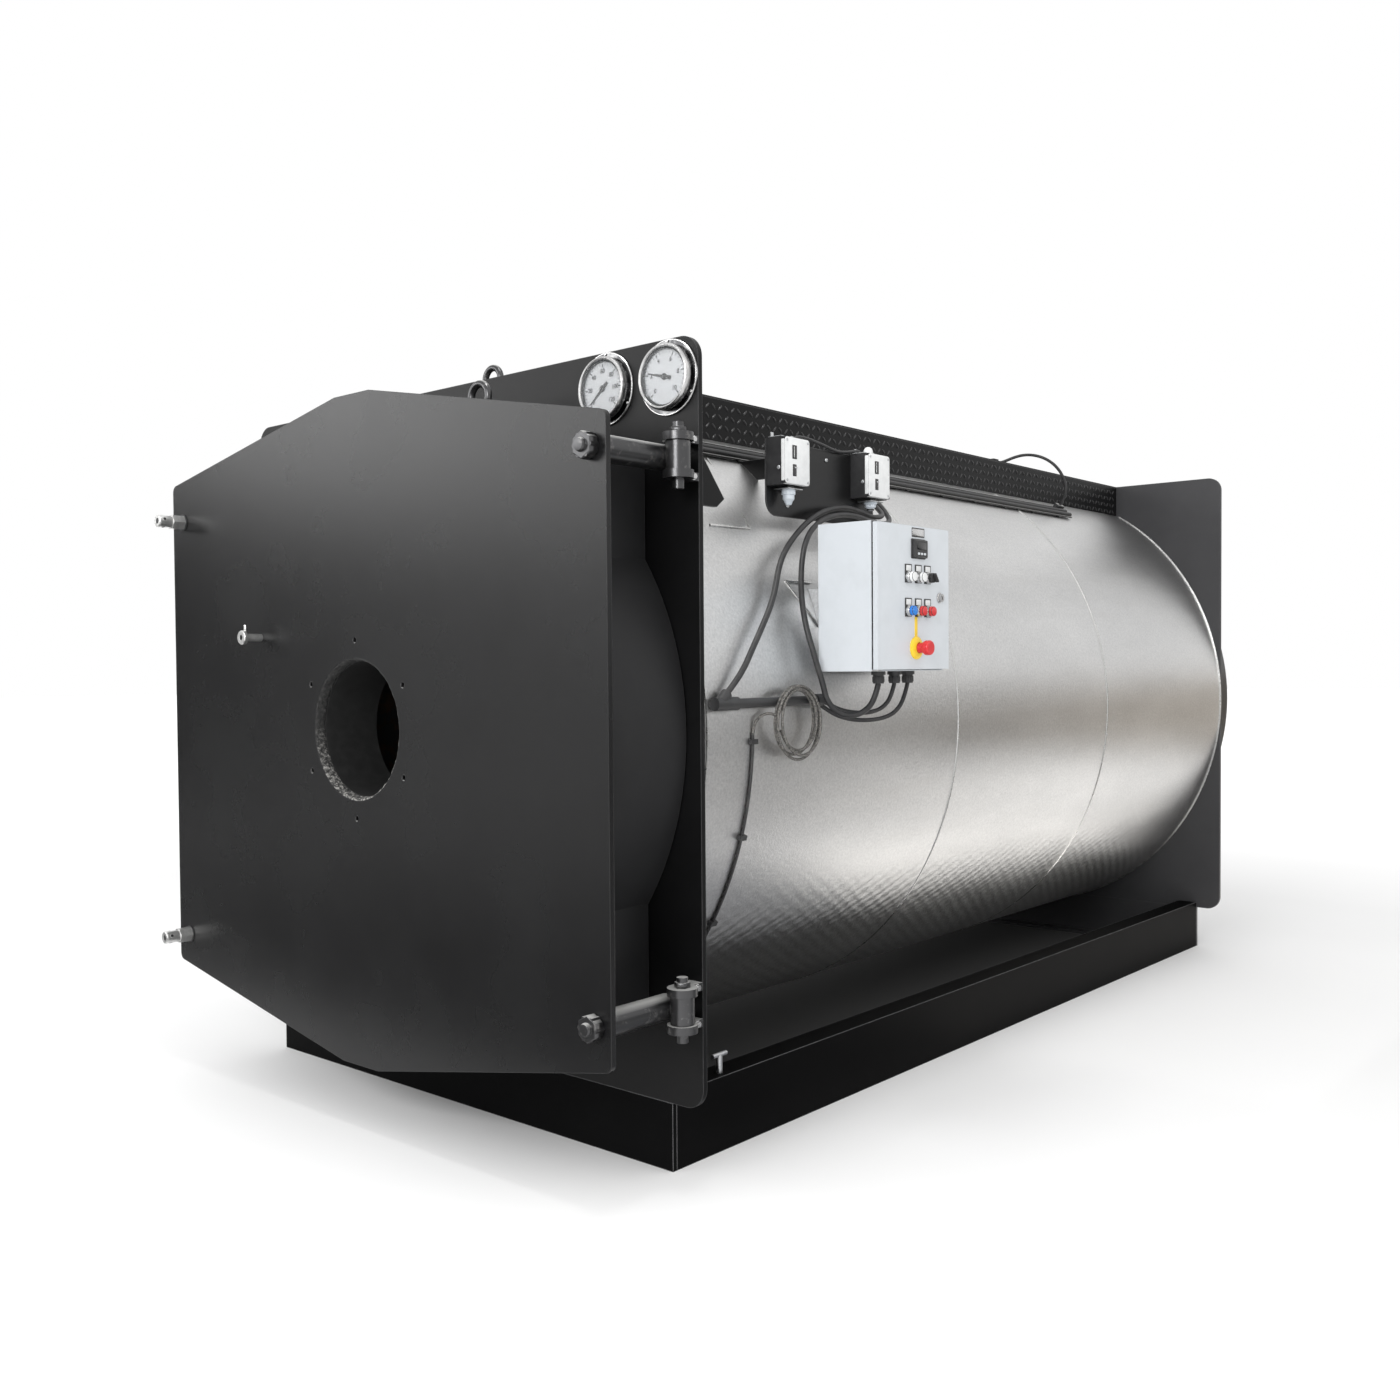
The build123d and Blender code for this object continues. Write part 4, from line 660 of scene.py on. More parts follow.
def spare_cable():
    """Thin cable that leaves its last clip and hangs in a loose coil on the conduit."""
    middle = (COIL_LOW + COIL_HIGH) / 2
    bundle = (COIL_HIGH.x - COIL_LOW.x) / 2
    radius = (COIL_HIGH.y - COIL_LOW.y) / 2 - bundle
    lane = bundle - THIN_DIAMETER / 2
    points = list(ROUTES["spare_lead"])
    for step in range(1, COIL_TURNS * COIL_STEPS):
        turn = step / COIL_STEPS
        angle = pi - 2 * pi * turn
        hanging = (1 - sin(angle)) / 2
        spread = lane * (1.0 + COIL_LOOSENESS * hanging + 0.15 * sin(1.7 * turn))
        across = radians(200) + radians(90) * turn
        reach = radius + spread * cos(across) + COIL_SAG * hanging ** 2
        points.append((middle.x + spread * sin(across), middle.y + reach * cos(angle),
                       middle.z + reach * sin(angle)))
    coil = cable("spare_coil_cable", points, THIN_DIAMETER, BRAID)
    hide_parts("spare_lead", "spare_coil")


# Dial gauges
DIAL_RADIUS = 0.0725
DIAL_DEPTH = 0.0078
GAUGE_FLANGE = 0.005
SCALE_START = radians(225)
SCALE_SWEEP = radians(-270)
TICKS_PER_MARK = 5
TICK_END = 0.064
MARK_RADIUS = 0.045
MARK_SIZE = 0.0160
GAUGE_MARKS = {
    "temperature_gauge": (["0", "20", "40", "60", "80", "100", "120"], 0.02),
    "pressure_gauge": (["0", "2", "4", "6", "8", "10"], 0.22),
}


def gauge_face(node, marks, reading):
    """Dial, scale, pointer, bezel and glass of one gauge. The reading is a share of the scale."""
    low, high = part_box(node)
    middle = at((low.x + high.x) / 2, low.y, (low.z + high.z) / 2) @ FORWARD
    card = turned([(0, -DIAL_DEPTH), (DIAL_RADIUS, -DIAL_DEPTH), (DIAL_RADIUS, -DIAL_DEPTH + 0.0006),
                   (0, -DIAL_DEPTH + 0.0006)], 64)
    piece(node + "_dial", moved(card, middle), DIAL)
    printed = []
    last = (len(marks) - 1) * TICKS_PER_MARK
    for step in range(last + 1):
        turn = SCALE_START + SCALE_SWEEP * step / last
        long = step % TICKS_PER_MARK == 0
        length = 0.009 if long else 0.005
        tick = slab((length, 0.0032 if long else 0.0016, 0.0003), 0.0001, 1)
        printed.append(moved(tick, at(TICK_END - length / 2, 0, 0), spun(turn)))
    for step, mark in enumerate(marks):
        turn = SCALE_START + SCALE_SWEEP * step / (len(marks) - 1)
        printed.append(moved(words(mark, MARK_SIZE), at(MARK_RADIUS * cos(turn), MARK_RADIUS * sin(turn), 0)))
    printed.append(printed_arc(0.0655, 0.0664, SCALE_START, SCALE_SWEEP))
    scale = moved(gathered(printed), at(0, 0, -DIAL_DEPTH + 0.0009), middle)
    piece(node + "_scale", scale, SOOT, smooth=0)
    needle = slab((0.080, 0.0104, 0.0012), 0.0003, 1)
    tip = [vert for vert in needle.verts if vert.co.x > 0]
    bmesh.ops.scale(needle, vec=(1.0, 0.26, 1.0), verts=tip)
    moved(needle, at(0.018, 0, 0), spun(SCALE_START + SCALE_SWEEP * reading))
    hub = turned([(0, 0), (0.0085, 0), (0.0085, 0.0015), (0.006, 0.0026), (0, 0.0028)], 32)
    pointer = moved(gathered([needle, hub]), at(0, 0, -DIAL_DEPTH + 0.0022), middle)
    piece(node + "_pointer", pointer, SOOT)
    bezel = turned([(0.0722, -0.004), (0.0722, 0.0010), (0.0740, 0.0036), (0.0768, 0.0046), (0.0798, 0.0034),
                    (0.0816, -0.0004), (0.0822, -0.006), (0.0822, -0.012), (0.0792, -0.0145)], 96)
    back = low.y - high.y + GAUGE_FLANGE
    rim = turned([(0.0912, back), (0.0918, back + 0.0010), (0.0932, back + 0.0010), (0.0946, back - 0.0008),
                  (0.0946, back - 0.0042)], 96)
    # Dark ring inside the bezel: painted shade on the bezel's inner wall.
    inner_shade_ring = turned([(0.0675, -0.0072), (0.0724, -0.0072), (0.0724, 0.0002), (0.0708, 0.0002)], 96)
    pane = turned([(0, -0.0022), (0.0718, -0.0022), (0.0718, -0.0008), (0, -0.0002)], 64)
    screws = repeated(screw(0.0040, 0.0026), ring_of(3, 0.0895, radians(90)))
    piece(node + "_bezel", moved(gathered([bezel, rim]), middle), STAINLESS)
    piece(node + "_gasket", moved(inner_shade_ring, middle), SOOT)
    piece(node + "_glass", moved(pane, middle), GLASS)
    piece(node + "_screws", moved(screws, at(0, 0, back + 0.0010), middle), STAINLESS)


# Door hardware
ARM_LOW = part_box("hinge_arms")[0]
BOLT_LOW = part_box("closing_bolts")[0]
LUG_MIDDLE = 0.045
LUG_REACH = 0.055
LUG_BOLT_Y = -0.060
ARM_X = 0.925
HINGE_X = 0.977
HINGE_Y = -0.110
HINGE_HEIGHTS = (0.443, 1.784)
BOLT_X = -0.918
BOLT_HEIGHTS = (0.430, 1.745)
BAR_HOLES = 4
BAR_HOLE_TURN = radians(20)
BAR_HOLE_BACK = 0.0150
BURNER_RADIUS = 0.197
BURNER_HOLES = 6
BURNER_HOLE_CIRCLE = 0.246
LIP_SWELL = 0.0024
LIP_LUMPS = 17
LIP_RIPPLE = 900.0
LINING_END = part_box("door_lining")[1].y


def hinge_details():
    """Nut and bolt end on the door face, rounded arm ends, and the pin's nut and lug bolts."""
    reach = DOOR_FACE_Y - ARM_LOW.y
    for height in HINGE_HEIGHTS:
        name = "upper" if height > AXIS_Z else "lower"
        nut = hexagon(0.0335, 0.0272, 0.0024)
        bolt_end = turned([(0.0165, 0.026), (0.0165, reach - 0.004), (0.0140, reach + 0.0008),
                           (0, reach + 0.0022)], 32)
        fixing = moved(gathered([nut, bolt_end]), FORWARD, at(ARM_X, DOOR_FACE_Y, height))
        piece("hinge_nut_" + name, fixing, HINGE, "front_door")
        dome = turned([(0.0325, 0), (0.0310, 0.005), (0.0265, 0.0095), (0.0180, 0.0130), (0, 0.0150)], 40)
        piece("hinge_arm_end_" + name, moved(dome, BACKWARD, at(ARM_X, HINGE_Y, height)), HINGE, "front_door")
        pin_nut = moved(hexagon(0.0210, 0.0135, 0.0014), at(HINGE_X, HINGE_Y, height + LUG_REACH))
        piece("hinge_pin_nut_" + name, pin_nut, HINGE)
        heads = [moved(bolt_head(0.0095), SIDEWAYS,
                       at(PLATE_HIGH.x - 0.0005, LUG_BOLT_Y, height + side * LUG_MIDDLE))
                 for side in (1, -1)]
        piece("hinge_lug_bolts_" + name, gathered(heads), STAINLESS)


def bar_holes(shape, radius, reach):
    """Copies of a shape round the head of a closing bolt, where its tommy bar goes in."""
    places = [turn @ SIDEWAYS for turn in ring_of(BAR_HOLES, radius, BAR_HOLE_TURN)]
    return moved(repeated(shape, places), at(0, 0, reach - BAR_HOLE_BACK))


def closing_bolt_details():
    """Bright end ring and tommy-bar eyelets of each closing bolt, with dark discs and a ring as painted shade
    in its holes, end socket and joint with the door.
    """
    reach = DOOR_FACE_Y - BOLT_LOW.y
    for height in BOLT_HEIGHTS:
        name = "upper" if height > AXIS_Z else "lower"
        place = at(BOLT_X, DOOR_FACE_Y, height) @ FORWARD
        rim = turned([(0.0088, reach), (0.0094, reach + 0.0016), (0.0160, reach + 0.0016),
                      (0.0193, reach - 0.0014), (0.0196, reach - 0.0040), (0.0190, reach - 0.0050)], 40)
        eyelet = turned([(0.0044, 0), (0.0050, 0.0007), (0.0058, 0.0007), (0.0064, 0)], 20)
        bright = gathered([rim, bar_holes(eyelet, 0.0186, reach)])
        piece("closing_rim_" + name, moved(bright, place), BOLT, "front_door")
        # Painted shade: dark discs in the tommy-bar holes and the end socket, and a dark ring where the bolt
        # meets the door.
        hole = turned([(0.0046, 0), (0.0046, 0.0005), (0, 0.0005)], 20)
        socket = turned([(0.0090, reach), (0.0090, reach + 0.0006), (0, reach + 0.0006)], 32)
        door_shade_ring = turned([(0.0200, 0), (0.0262, 0), (0.0262, 0.0030), (0.0200, 0.0030)], 40)
        dark = gathered([bar_holes(hole, 0.0188, reach), socket, door_shade_ring])
        piece("closing_seal_" + name, moved(dark, place), PLASTIC, "front_door")


def sight_details():
    """Cap ring, dark pane and upright catch of the sight port."""
    low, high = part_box("sight_glass")
    place = at((low.x + high.x) / 2, DOOR_FACE_Y, (low.z + high.z) / 2) @ FORWARD
    reach = DOOR_FACE_Y - low.y
    ring = turned([(0.0078, reach), (0.0086, reach + 0.0018), (0.0190, reach + 0.0018),
                   (0.0208, reach - 0.0004), (0.0208, reach - 0.0088), (0.0195, reach - 0.0103)], 48)
    catch = moved(slab((0.011, 0.030, 0.004), 0.0012), at(0, 0.0225, reach - 0.0122))
    piece("sight_ring", moved(gathered([ring, catch]), place), BOLT, "front_door")
    pane = turned([(0.0082, reach), (0.0082, reach + 0.0006), (0, reach + 0.0012)], 40)
    piece("sight_pane", moved(pane, place), SMOKED, "front_door")


def roughened(shape):
    """Makes a turned ring uneven, as torn fibre is."""
    for vert in shape.verts:
        turn = atan2(vert.co.y, vert.co.x)
        depth = LIP_RIPPLE * vert.co.z
        wave = sin(LIP_LUMPS * turn + depth) * 0.4 + sin(2.7 * LIP_LUMPS * turn - 1.7 * depth) * 0.35
        wave += sin(6.1 * LIP_LUMPS * turn + 2.3 * depth) * 0.25
        vert.co -= Vector((cos(turn), sin(turn), 0.0)) * LIP_SWELL * wave
    return shape


def burner_details():
    """Fibre lip and sooty sleeve of the burner opening, and bright chamfers on its six holes."""
    face = at(0, DOOR_FACE_Y, AXIS_Z) @ FORWARD
    depth = LINING_END - DOOR_FACE_Y
    inner = BURNER_RADIUS
    lip = turned([(inner, -0.001), (inner - 0.003, -0.002), (inner - 0.006, -0.007), (inner - 0.008, -0.013),
                  (inner - 0.009, -0.019), (inner - 0.010, -0.025), (inner - 0.007, -0.032),
                  (inner, -0.034)], 260)
    piece("burner_lip", moved(roughened(lip), face), FIBRE, "front_door")
    sleeve = turned([(inner - 0.001, -0.028), (inner - 0.010, -0.030), (inner - 0.008, -depth),
                     (inner - 0.001, -depth - 0.001)], 120)
    piece("burner_sleeve", moved(sleeve, face), SOOT, "front_door")
    chamfers = repeated(turned([(0.0070, -0.0040), (0.0079, -0.0004), (0.0084, 0.0003), (0.0090, 0)], 24),
                        ring_of(BURNER_HOLES, BURNER_HOLE_CIRCLE, radians(30)))
    piece("burner_chamfers", moved(chamfers, face), HINGE, "front_door")


# Jacket trim, as (rise over the jacket, offset along Y) points
SEAMS = (1.198, 2.301)
SEAM_PROFILE = ((-0.0005, -0.0060), (0.0010, -0.0050), (0.0026, -0.0016),
                (0.0026, 0.0016), (0.0010, 0.0050), (-0.0005, 0.0060))
EDGING_PROFILE = ((-0.0005, 0.006), (0.0012, 0.006), (0.0012, 0.003),
                  (0.004, 0.003), (0.004, 0.0005), (-0.0005, 0.0005))
DECK_GAP = 0.012
SKIN_START = asin(sqrt(JACKET_RADIUS ** 2 - (DECK_HIGH.x + DECK_GAP) ** 2) / JACKET_RADIUS)
SKIN_SWEEP = pi + 2 * SKIN_START


def jacket_ring(name, profile, y, inward=1):
    """Strip round the jacket, from one side of the deck to the other."""
    points = [(JACKET_RADIUS + rise, y + inward * offset) for rise, offset in profile]
    piece(name, band(points, SKIN_START, SKIN_SWEEP, 160), TRIM)


def jacket_trim():
    """Folded beads on the sheet joints, and edging along both end plates."""
    for number, y in enumerate(SEAMS):
        jacket_ring("jacket_seam_%d" % (number + 1), SEAM_PROFILE, y)
    jacket_ring("jacket_edging_front", EDGING_PROFILE, PLATE_HIGH.y)
    jacket_ring("jacket_edging_rear", EDGING_PROFILE, REAR_LOW.y, -1)


# Walkway
TREAD_PITCH = 0.030
TREAD_LENGTH = 0.024
TREAD_WIDTH = 0.0075
TREAD_HEIGHT = 0.0024
TREAD_LEAN = radians(45)
TREAD_MARGIN = (0.04, 0.012)


def tread():
    """One raised lozenge of the tread plate, long in X."""
    shape = bmesh.new()
    bmesh.ops.create_cone(shape, cap_ends=True, segments=8, radius1=0.5, radius2=0.28, depth=1.0)
    bmesh.ops.translate(shape, vec=(0, 0, 0.5), verts=shape.verts)
    floor_faces = [face for face in shape.faces if face.calc_center_median().z < 0.01]
    bmesh.ops.delete(shape, geom=floor_faces, context="FACES_ONLY")
    bmesh.ops.scale(shape, vec=(TREAD_LENGTH, TREAD_WIDTH, TREAD_HEIGHT), verts=shape.verts)
    return shape


def tread_field(length, width):
    """Lozenges turned alternately over a rectangle in the XY plane about the origin."""
    across = int(width / TREAD_PITCH)
    along = int(length / TREAD_PITCH)
    leaning = []
    for lean in (TREAD_LEAN, -TREAD_LEAN):
        row = [at((step - (along - 1) / 2) * TREAD_PITCH, 0, 0) @ spun(lean * (1 if step % 2 else -1))
               for step in range(along)]
        leaning.append(repeated(tread(), row))
    rows = []
    for parity, line in enumerate(leaning):
        places = [at(0, (step - (across - 1) / 2) * TREAD_PITCH, 0) for step in range(parity, across, 2)]
        rows.append(repeated(line, places))
    return gathered(rows)


def walkway():
    """Tread pattern on both sides of the deck."""
    length = DECK_HIGH.y - DECK_LOW.y - TREAD_MARGIN[0]
    height = DECK_HIGH.z - DECK_LOW.z - TREAD_MARGIN[1]
    middle = (DECK_LOW + DECK_HIGH) / 2
    upright = at(DECK_HIGH.x, middle.y, middle.z) @ SIDEWAYS @ spun(radians(90))
    piece("deck_tread_right", moved(tread_field(length, height), upright), TREAD, smooth=0)
    left = moved(tread_field(length, height), upright, spun(pi), at(0, 2 * middle.y, 0))
    piece("deck_tread_left", left, TREAD, smooth=0)


def on_skin(degrees_up, y, lift):
    """Point on the jacket at an angle above the level."""
    angle = radians(degrees_up)
    radius = JACKET_RADIUS + lift
    return Vector((radius * cos(angle), y, AXIS_Z + radius * sin(angle)))


def skin_strip(first, second, width, thickness):
    """Bar lying on the jacket between two (degrees, y) places."""
    start, end = on_skin(*first, 0.0), on_skin(*second, 0.0)
    middle = (first[0] + second[0]) / 2
    outward = on_skin(middle, 0.0, 1.0) - on_skin(middle, 0.0, 0.0)
    along = (end - start).normalized()
    side = outward.cross(along).normalized()
    outward = along.cross(side)
    turn = Matrix((along, side, outward)).transposed().to_4x4()
    bar = slab(((end - start).length, width, thickness), 0.3 * thickness)
    return moved(bar, turn, Matrix.Translation((start + end) / 2))


# Folded flashings on the jacket, as corner places in degrees above the level and metres back
GUSSET_FLASHING = ((50.5, 0.405), (33.4, 0.356), (33.2, 0.182))
BRACKET_FLASHING = ((23.8, 0.526), (23.8, 0.407), (16.1, 0.505))
FLASHING_WIDTH = 0.009
FLASHING_HEIGHT = 0.012


def flashings():
    """Bright folded edges where brackets pass through the jacket."""
    bars = []
    for corners in (GUSSET_FLASHING, BRACKET_FLASHING):
        for first, second in zip(corners, corners[1:]):
            bars.append(skin_strip(first, second, FLASHING_WIDTH, FLASHING_HEIGHT))
    piece("jacket_flashings", gathered(bars), TRIM)


# Switches on the right side
SWITCH_HEIGHT = 0.132
SWITCH_COVER = 0.0125
SWITCH_DROPS = {"pressure_switch_front": 0.052, "pressure_switch_rear": 0.0345}
SWITCH_PLATE_X = 0.834
SWITCH_PLATE_SCREWS = ((0.512, 1.728), (0.700, 1.876), (0.910, 1.728))
LINK_DIAMETER = 0.009


def tube(name, points, diameter):
    """Fixed cable, turned into a mesh where it lies."""
    line = cable(name + "_line", points, diameter)
    mesh = bpy.data.meshes.new_from_object(line)
    bpy.data.objects.remove(line)
    mesh.name = name
    return shown(bpy.data.objects.new(name, mesh), CABLE, smooth=60.0)


def switch_details(node, drop):
    """Cover with its windows and screws, side screws, and the flange and bellows hanging below."""
    low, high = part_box(node)
    y = (low.y + high.y) / 2
    z = high.z - SWITCH_HEIGHT / 2
    face = at(high.x + 0.001, y, z) @ ON_SIDE
    cover = plate(0.1152, 0.1292, SWITCH_COVER + 0.001, 0.011, 0.003)
    piece(node + "_cover", moved(cover, at(0, 0, -SWITCH_COVER - 0.001), face), WHITE)
    windows = [moved(plate(0.021, 0.038, 0.0006, 0.002, 0.0002), at(-0.014, 0.024, 0)),
               moved(plate(0.017, 0.033, 0.0006, 0.002, 0.0002), at(-0.014, -0.026, 0))]
    piece(node + "_windows", moved(gathered(windows), face), SMOKED)
    marks = [moved(slab((0.011, 0.0035, 0.0012), 0.0004, 1), at(-0.008, -0.018, 0.0006)),
             moved(slab((0.002, 0.030, 0.0010), 0.0003, 1), at(-0.016, 0.024, 0.0006))]
    corners = [at(0.048 * side, 0.055 * end, 0) for side in (-1, 1) for end in (-1, 1)]
    marks.append(repeated(screw(0.0042, 0.0020), corners))
    piece(node + "_marks", moved(gathered(marks), face), ZINC)
    side_screw = [moved(screw(0.0055, 0.0035), FORWARD, at(high.x - 0.020, low.y, z - 0.020)),
                  moved(screw(0.0055, 0.0035), BACKWARD, at(high.x - 0.020, high.y, z - 0.020))]
    frame_top = moved(slab((0.046, 0.110, 0.0025), 0.0010), at(low.x + 0.026, y, high.z + 0.0008))
    lugs = [moved(slab((0.004, 0.012, 0.018), 0.0015), at(low.x + 0.010, y + end * 0.046, high.z + 0.006))
            for end in (-1, 1)]
    piece(node + "_frame", gathered(side_screw + [frame_top] + lugs), ZINC)
    under = z - SWITCH_HEIGHT / 2
    middle_x = (low.x + high.x) / 2
    neck = turned([(0.0115, 0), (0.0115, -0.009)], 32)
    flange = moved(slab((0.050, 0.068, 0.0028), 0.0010), at(0, 0, -0.0090))
    piece(node + "_flange", moved(gathered([neck, flange]), at(middle_x, y, under)), ZINC)
    bellows = turned([(0.0195, -0.0100), (0.0195, -0.45 * drop), (0.0165, -0.48 * drop),
                      (0.0165, -0.70 * drop), (0.0120, -0.80 * drop), (0.0080, -drop), (0, -drop)], 40)
    piece(node + "_bellows", moved(bellows, at(middle_x, y, under)), PALE)


def bracket_details():
    """Fixing screws of the switch plate and the short cable between both switches."""
    front_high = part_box("pressure_switch_front")[1]
    rear_low, rear_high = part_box("pressure_switch_rear")
    x = SWITCH_PLATE_X
    places = [at(x, y, z) for y, z in SWITCH_PLATE_SCREWS]
    piece("bracket_screws", repeated(moved(screw(0.0062, 0.0042), SIDEWAYS), places), ZINC)
    start = front_high.y - 0.020
    end = rear_low.y + 0.030
    route = [(0.012, start, -0.004), (0.012, start + 0.010, 0.012), (0.010, start + 0.060, 0.020),
             (0.008, start + 0.150, 0.010), (0.008, end - 0.110, -0.004), (0.010, end - 0.050, 0.002),
             (0.012, end, 0.014), (0.013, end + 0.012, -0.002)]
    tube("switch_link_cable", [(x + out, y, front_high.z + rise) for out, y, rise in route], LINK_DIAMETER)
    boot = turned([(0, 0), (0.014, 0), (0.014, 0.012), (0.011, 0.020), (0.005, 0.024), (0, 0.024)], 32)
    piece("switch_cable_boot", moved(boot, at(x + 0.030, rear_low.y + 0.050, rear_high.z - 0.001)), WHITE)


# Cabinet: places on the door's face, and levels of what sits on the back plate inside
PANEL_PARTS = {
    "controller": (0.620, 1.590),
    "plate": (0.620, 1.634),
    "stop": (0.608, 1.322),
    "lock": (0.731, 1.461),
}
BUTTON_COLUMNS = (0.569, 0.619, 0.666)
UPPER_ROW = 1.522
LOWER_ROW = 1.431
BUTTON_LEVELS = {UPPER_ROW: (WHITE, WHITE, PLASTIC), LOWER_ROW: (BLUE, RED, RED)}
BUTTON_DROP = 0.009
BUTTON_PROUD = 0.022
TILE_RISE = 0.0145
TERMINAL_LEVEL = 1.350
CONTACTOR_LEVEL = 1.470
BREAKER_LEVEL = 1.575
DUCT_LEVELS = (1.405, 1.532, 1.302)


def on_panel(y, z):
    """Place on the cabinet door's face."""
    return at(PANEL_X, y, z) @ ON_SIDE


def button_details():
    """Coloured caps, plated bezels and bare legend tiles of both button rows."""
    tiles = []
    bezels = []
    for level, looks in BUTTON_LEVELS.items():
        for column, look in zip(BUTTON_COLUMNS, looks):
            head = on_panel(column, level - BUTTON_DROP)
            tile = plate(0.024, 0.015, 0.0008, 0.002, 0.0003)
            tiles.append(moved(tile, at(0, 0, 0.002), on_panel(column, level + TILE_RISE)))
            ring = turned([(0.0132, 0.002), (0.0155, 0.002), (0.0155, 0.009), (0.0145, 0.012),
                           (0.0132, 0.012)], 40)
            bezels.append(moved(ring, head))
            cap = turned([(0.0133, 0.013), (0.0135, 0.0195), (0.0118, BUTTON_PROUD + 0.0012),
                          (0.006, BUTTON_PROUD + 0.0022), (0, BUTTON_PROUD + 0.0024)], 40)
            name = "button_%d_%d" % (round(1000 * level), round(1000 * column))
            piece(name, moved(cap, head), look, "cabinet_door")
    knob = moved(slab((0.006, 0.028, 0.011), 0.0022), spun(radians(35)), at(0, 0, BUTTON_PROUD + 0.006))
    selector = on_panel(BUTTON_COLUMNS[2], UPPER_ROW - BUTTON_DROP)
    piece("selector_handle", moved(knob, selector), PLASTIC, "cabinet_door")
    piece("button_tiles", gathered(tiles), WHITE, "cabinet_door")
    piece("button_bezels", gathered(bezels), STAINLESS, "cabinet_door")


def panel_details():
    """Controller front, bare plates, emergency-stop plate and lock of the cabinet door."""
    low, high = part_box("cabinet_controller")
    face = at(high.x, (low.y + high.y) / 2, (low.z + high.z) / 2) @ ON_SIDE
    keys = repeated(plate(0.010, 0.006, 0.0012, 0.0015, 0.0004),
                    [at(step * 0.015, -0.014, 0) for step in (-1, 0, 1)])
    bare, stop, lock = [on_panel(*PANEL_PARTS[part]) for part in ("plate", "stop", "lock")]
    ring = turned([(0.0150, 0.0), (0.0308, 0.0), (0.0308, 0.0035), (0.0290, 0.0050), (0.0185, 0.0110),
                   (0.0150, 0.0110)], 56)
    strip = moved(plate(0.013, 0.056, 0.0012, 0.002, 0.0004), at(0, 0.056, 0))
    collar = turned([(0.0105, 0), (0.0145, 0), (0.0145, 0.002), (0.0125, 0.004), (0.0105, 0.004)], 40)
    slot = moved(slab((0.002, 0.011, 0.0012), 0.0004, 1), spun(radians(25)), at(0, 0, 0.0094))
    fittings = [
        ("controller_screen", moved(plate(0.046, 0.020, 0.0008, 0.002, 0.0003), at(0, 0.007, 0)), face, SMOKED),
        ("controller_keys", keys, face, GREY),
        ("controller_frame", moved(plate(0.072, 0.054, 0.0025, 0.004, 0.001), at(0, 0, PANEL_X - high.x)), face,
         PLASTIC),
        ("controller_plate", plate(0.058, 0.019, 0.0012, 0.002, 0.0004), bare, STAINLESS),
        ("controller_plate_edge", plate(0.064, 0.025, 0.0007, 0.002, 0.0003), bare, PLASTIC),
        ("stop_plate", gathered([ring, strip]), stop, YELLOW),
        ("lock_slot", slot, lock, PLASTIC),
        ("lock_collar", collar, lock, STAINLESS),
    ]
    for name, shape, place, look in fittings:
        piece(name, moved(shape, place), look, "cabinet_door")


def side_by_side(size, soft, x, start, pitch, count, z):
    """Boxes side by side along Y."""
    return [moved(slab(size, soft), at(x, start + step * pitch, z)) for step in range(count)]


def cabinet_inside():
    """Rails, contactors, terminals and ducts on the back plate, and contact blocks behind the buttons."""
    low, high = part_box("cabinet_back_plate")
    x = high.x
    width = high.y - low.y
    middle = (low.y + high.y) / 2
    rails = [moved(slab((0.008, width - 0.02, 0.035), 0.001), at(x + 0.004, middle, z))
             for z in (TERMINAL_LEVEL, CONTACTOR_LEVEL, BREAKER_LEVEL)]
    piece("mounting_rails", gathered(rails), ZINC)
    blocks = side_by_side((0.070, 0.043, 0.078), 0.003, x + 0.043, low.y + 0.045, 0.048, 4,
                          CONTACTOR_LEVEL)
    blocks += side_by_side((0.062, 0.017, 0.074), 0.002, x + 0.039, low.y + 0.032, 0.0185, 9,
                           BREAKER_LEVEL)
    piece("contactors", gathered(blocks), PLASTIC)
    clamps = side_by_side((0.040, 0.0058, 0.050), 0.001, x + 0.028, low.y + 0.030, 0.0064, 38,
                          TERMINAL_LEVEL)
    piece("terminal_row", gathered(clamps), GREY)
    ducts = [moved(slab((0.050, width - 0.01, 0.022), 0.002), at(x + 0.0255, middle, z)) for z in DUCT_LEVELS]
    piece("wiring_ducts", gathered(ducts), GREY)
    backs = [moved(slab((0.030, 0.028, 0.036), 0.002), at(PANEL_LOW.x - 0.0145, column, level))
             for level in BUTTON_LEVELS for column in BUTTON_COLUMNS]
    stop = at(PANEL_LOW.x - 0.0165, *PANEL_PARTS["stop"])
    backs.append(moved(slab((0.034, 0.036, 0.036), 0.002), stop))
    controller = at(PANEL_LOW.x - 0.022, *PANEL_PARTS["controller"])
    backs.append(moved(slab((0.045, 0.062, 0.044), 0.002), controller))
    piece("contact_blocks", gathered(backs), PLASTIC, "cabinet_door")


def gland_details():
    """Hexagonal nuts and ribbed domes of the cable glands, each where a cable ends."""
    low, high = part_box("cable_glands")
    nuts = []
    ends = (ROUTES["tray_lead_cabinet"][-1], ROUTES["gland_lead_front"][0], ROUTES["gland_lead_rear"][0])
    for x, y, _ in ends:
        nuts.append(moved(hexagon(0.0200, 0.009, 0.001), at(x, y, high.z - 0.0105)))
        dome = turned([(0.0090, 0), (0.0150, 0.001), (0.0162, 0.006), (0.0162, 0.018), (0.0150, 0.020)], 32)
        ribs = repeated(slab((0.0016, 0.0022, 0.014), 0.0005, 1), ring_of(16, 0.0160))
        nuts.append(moved(gathered([dome, moved(ribs, at(0, 0, 0.0115))]), at(x, y, low.z)))
    piece("gland_nuts", gathered(nuts), PLASTIC)


# Rear cover
COVER_BOLTS = 28
COVER_BOLT_INSET = 0.030


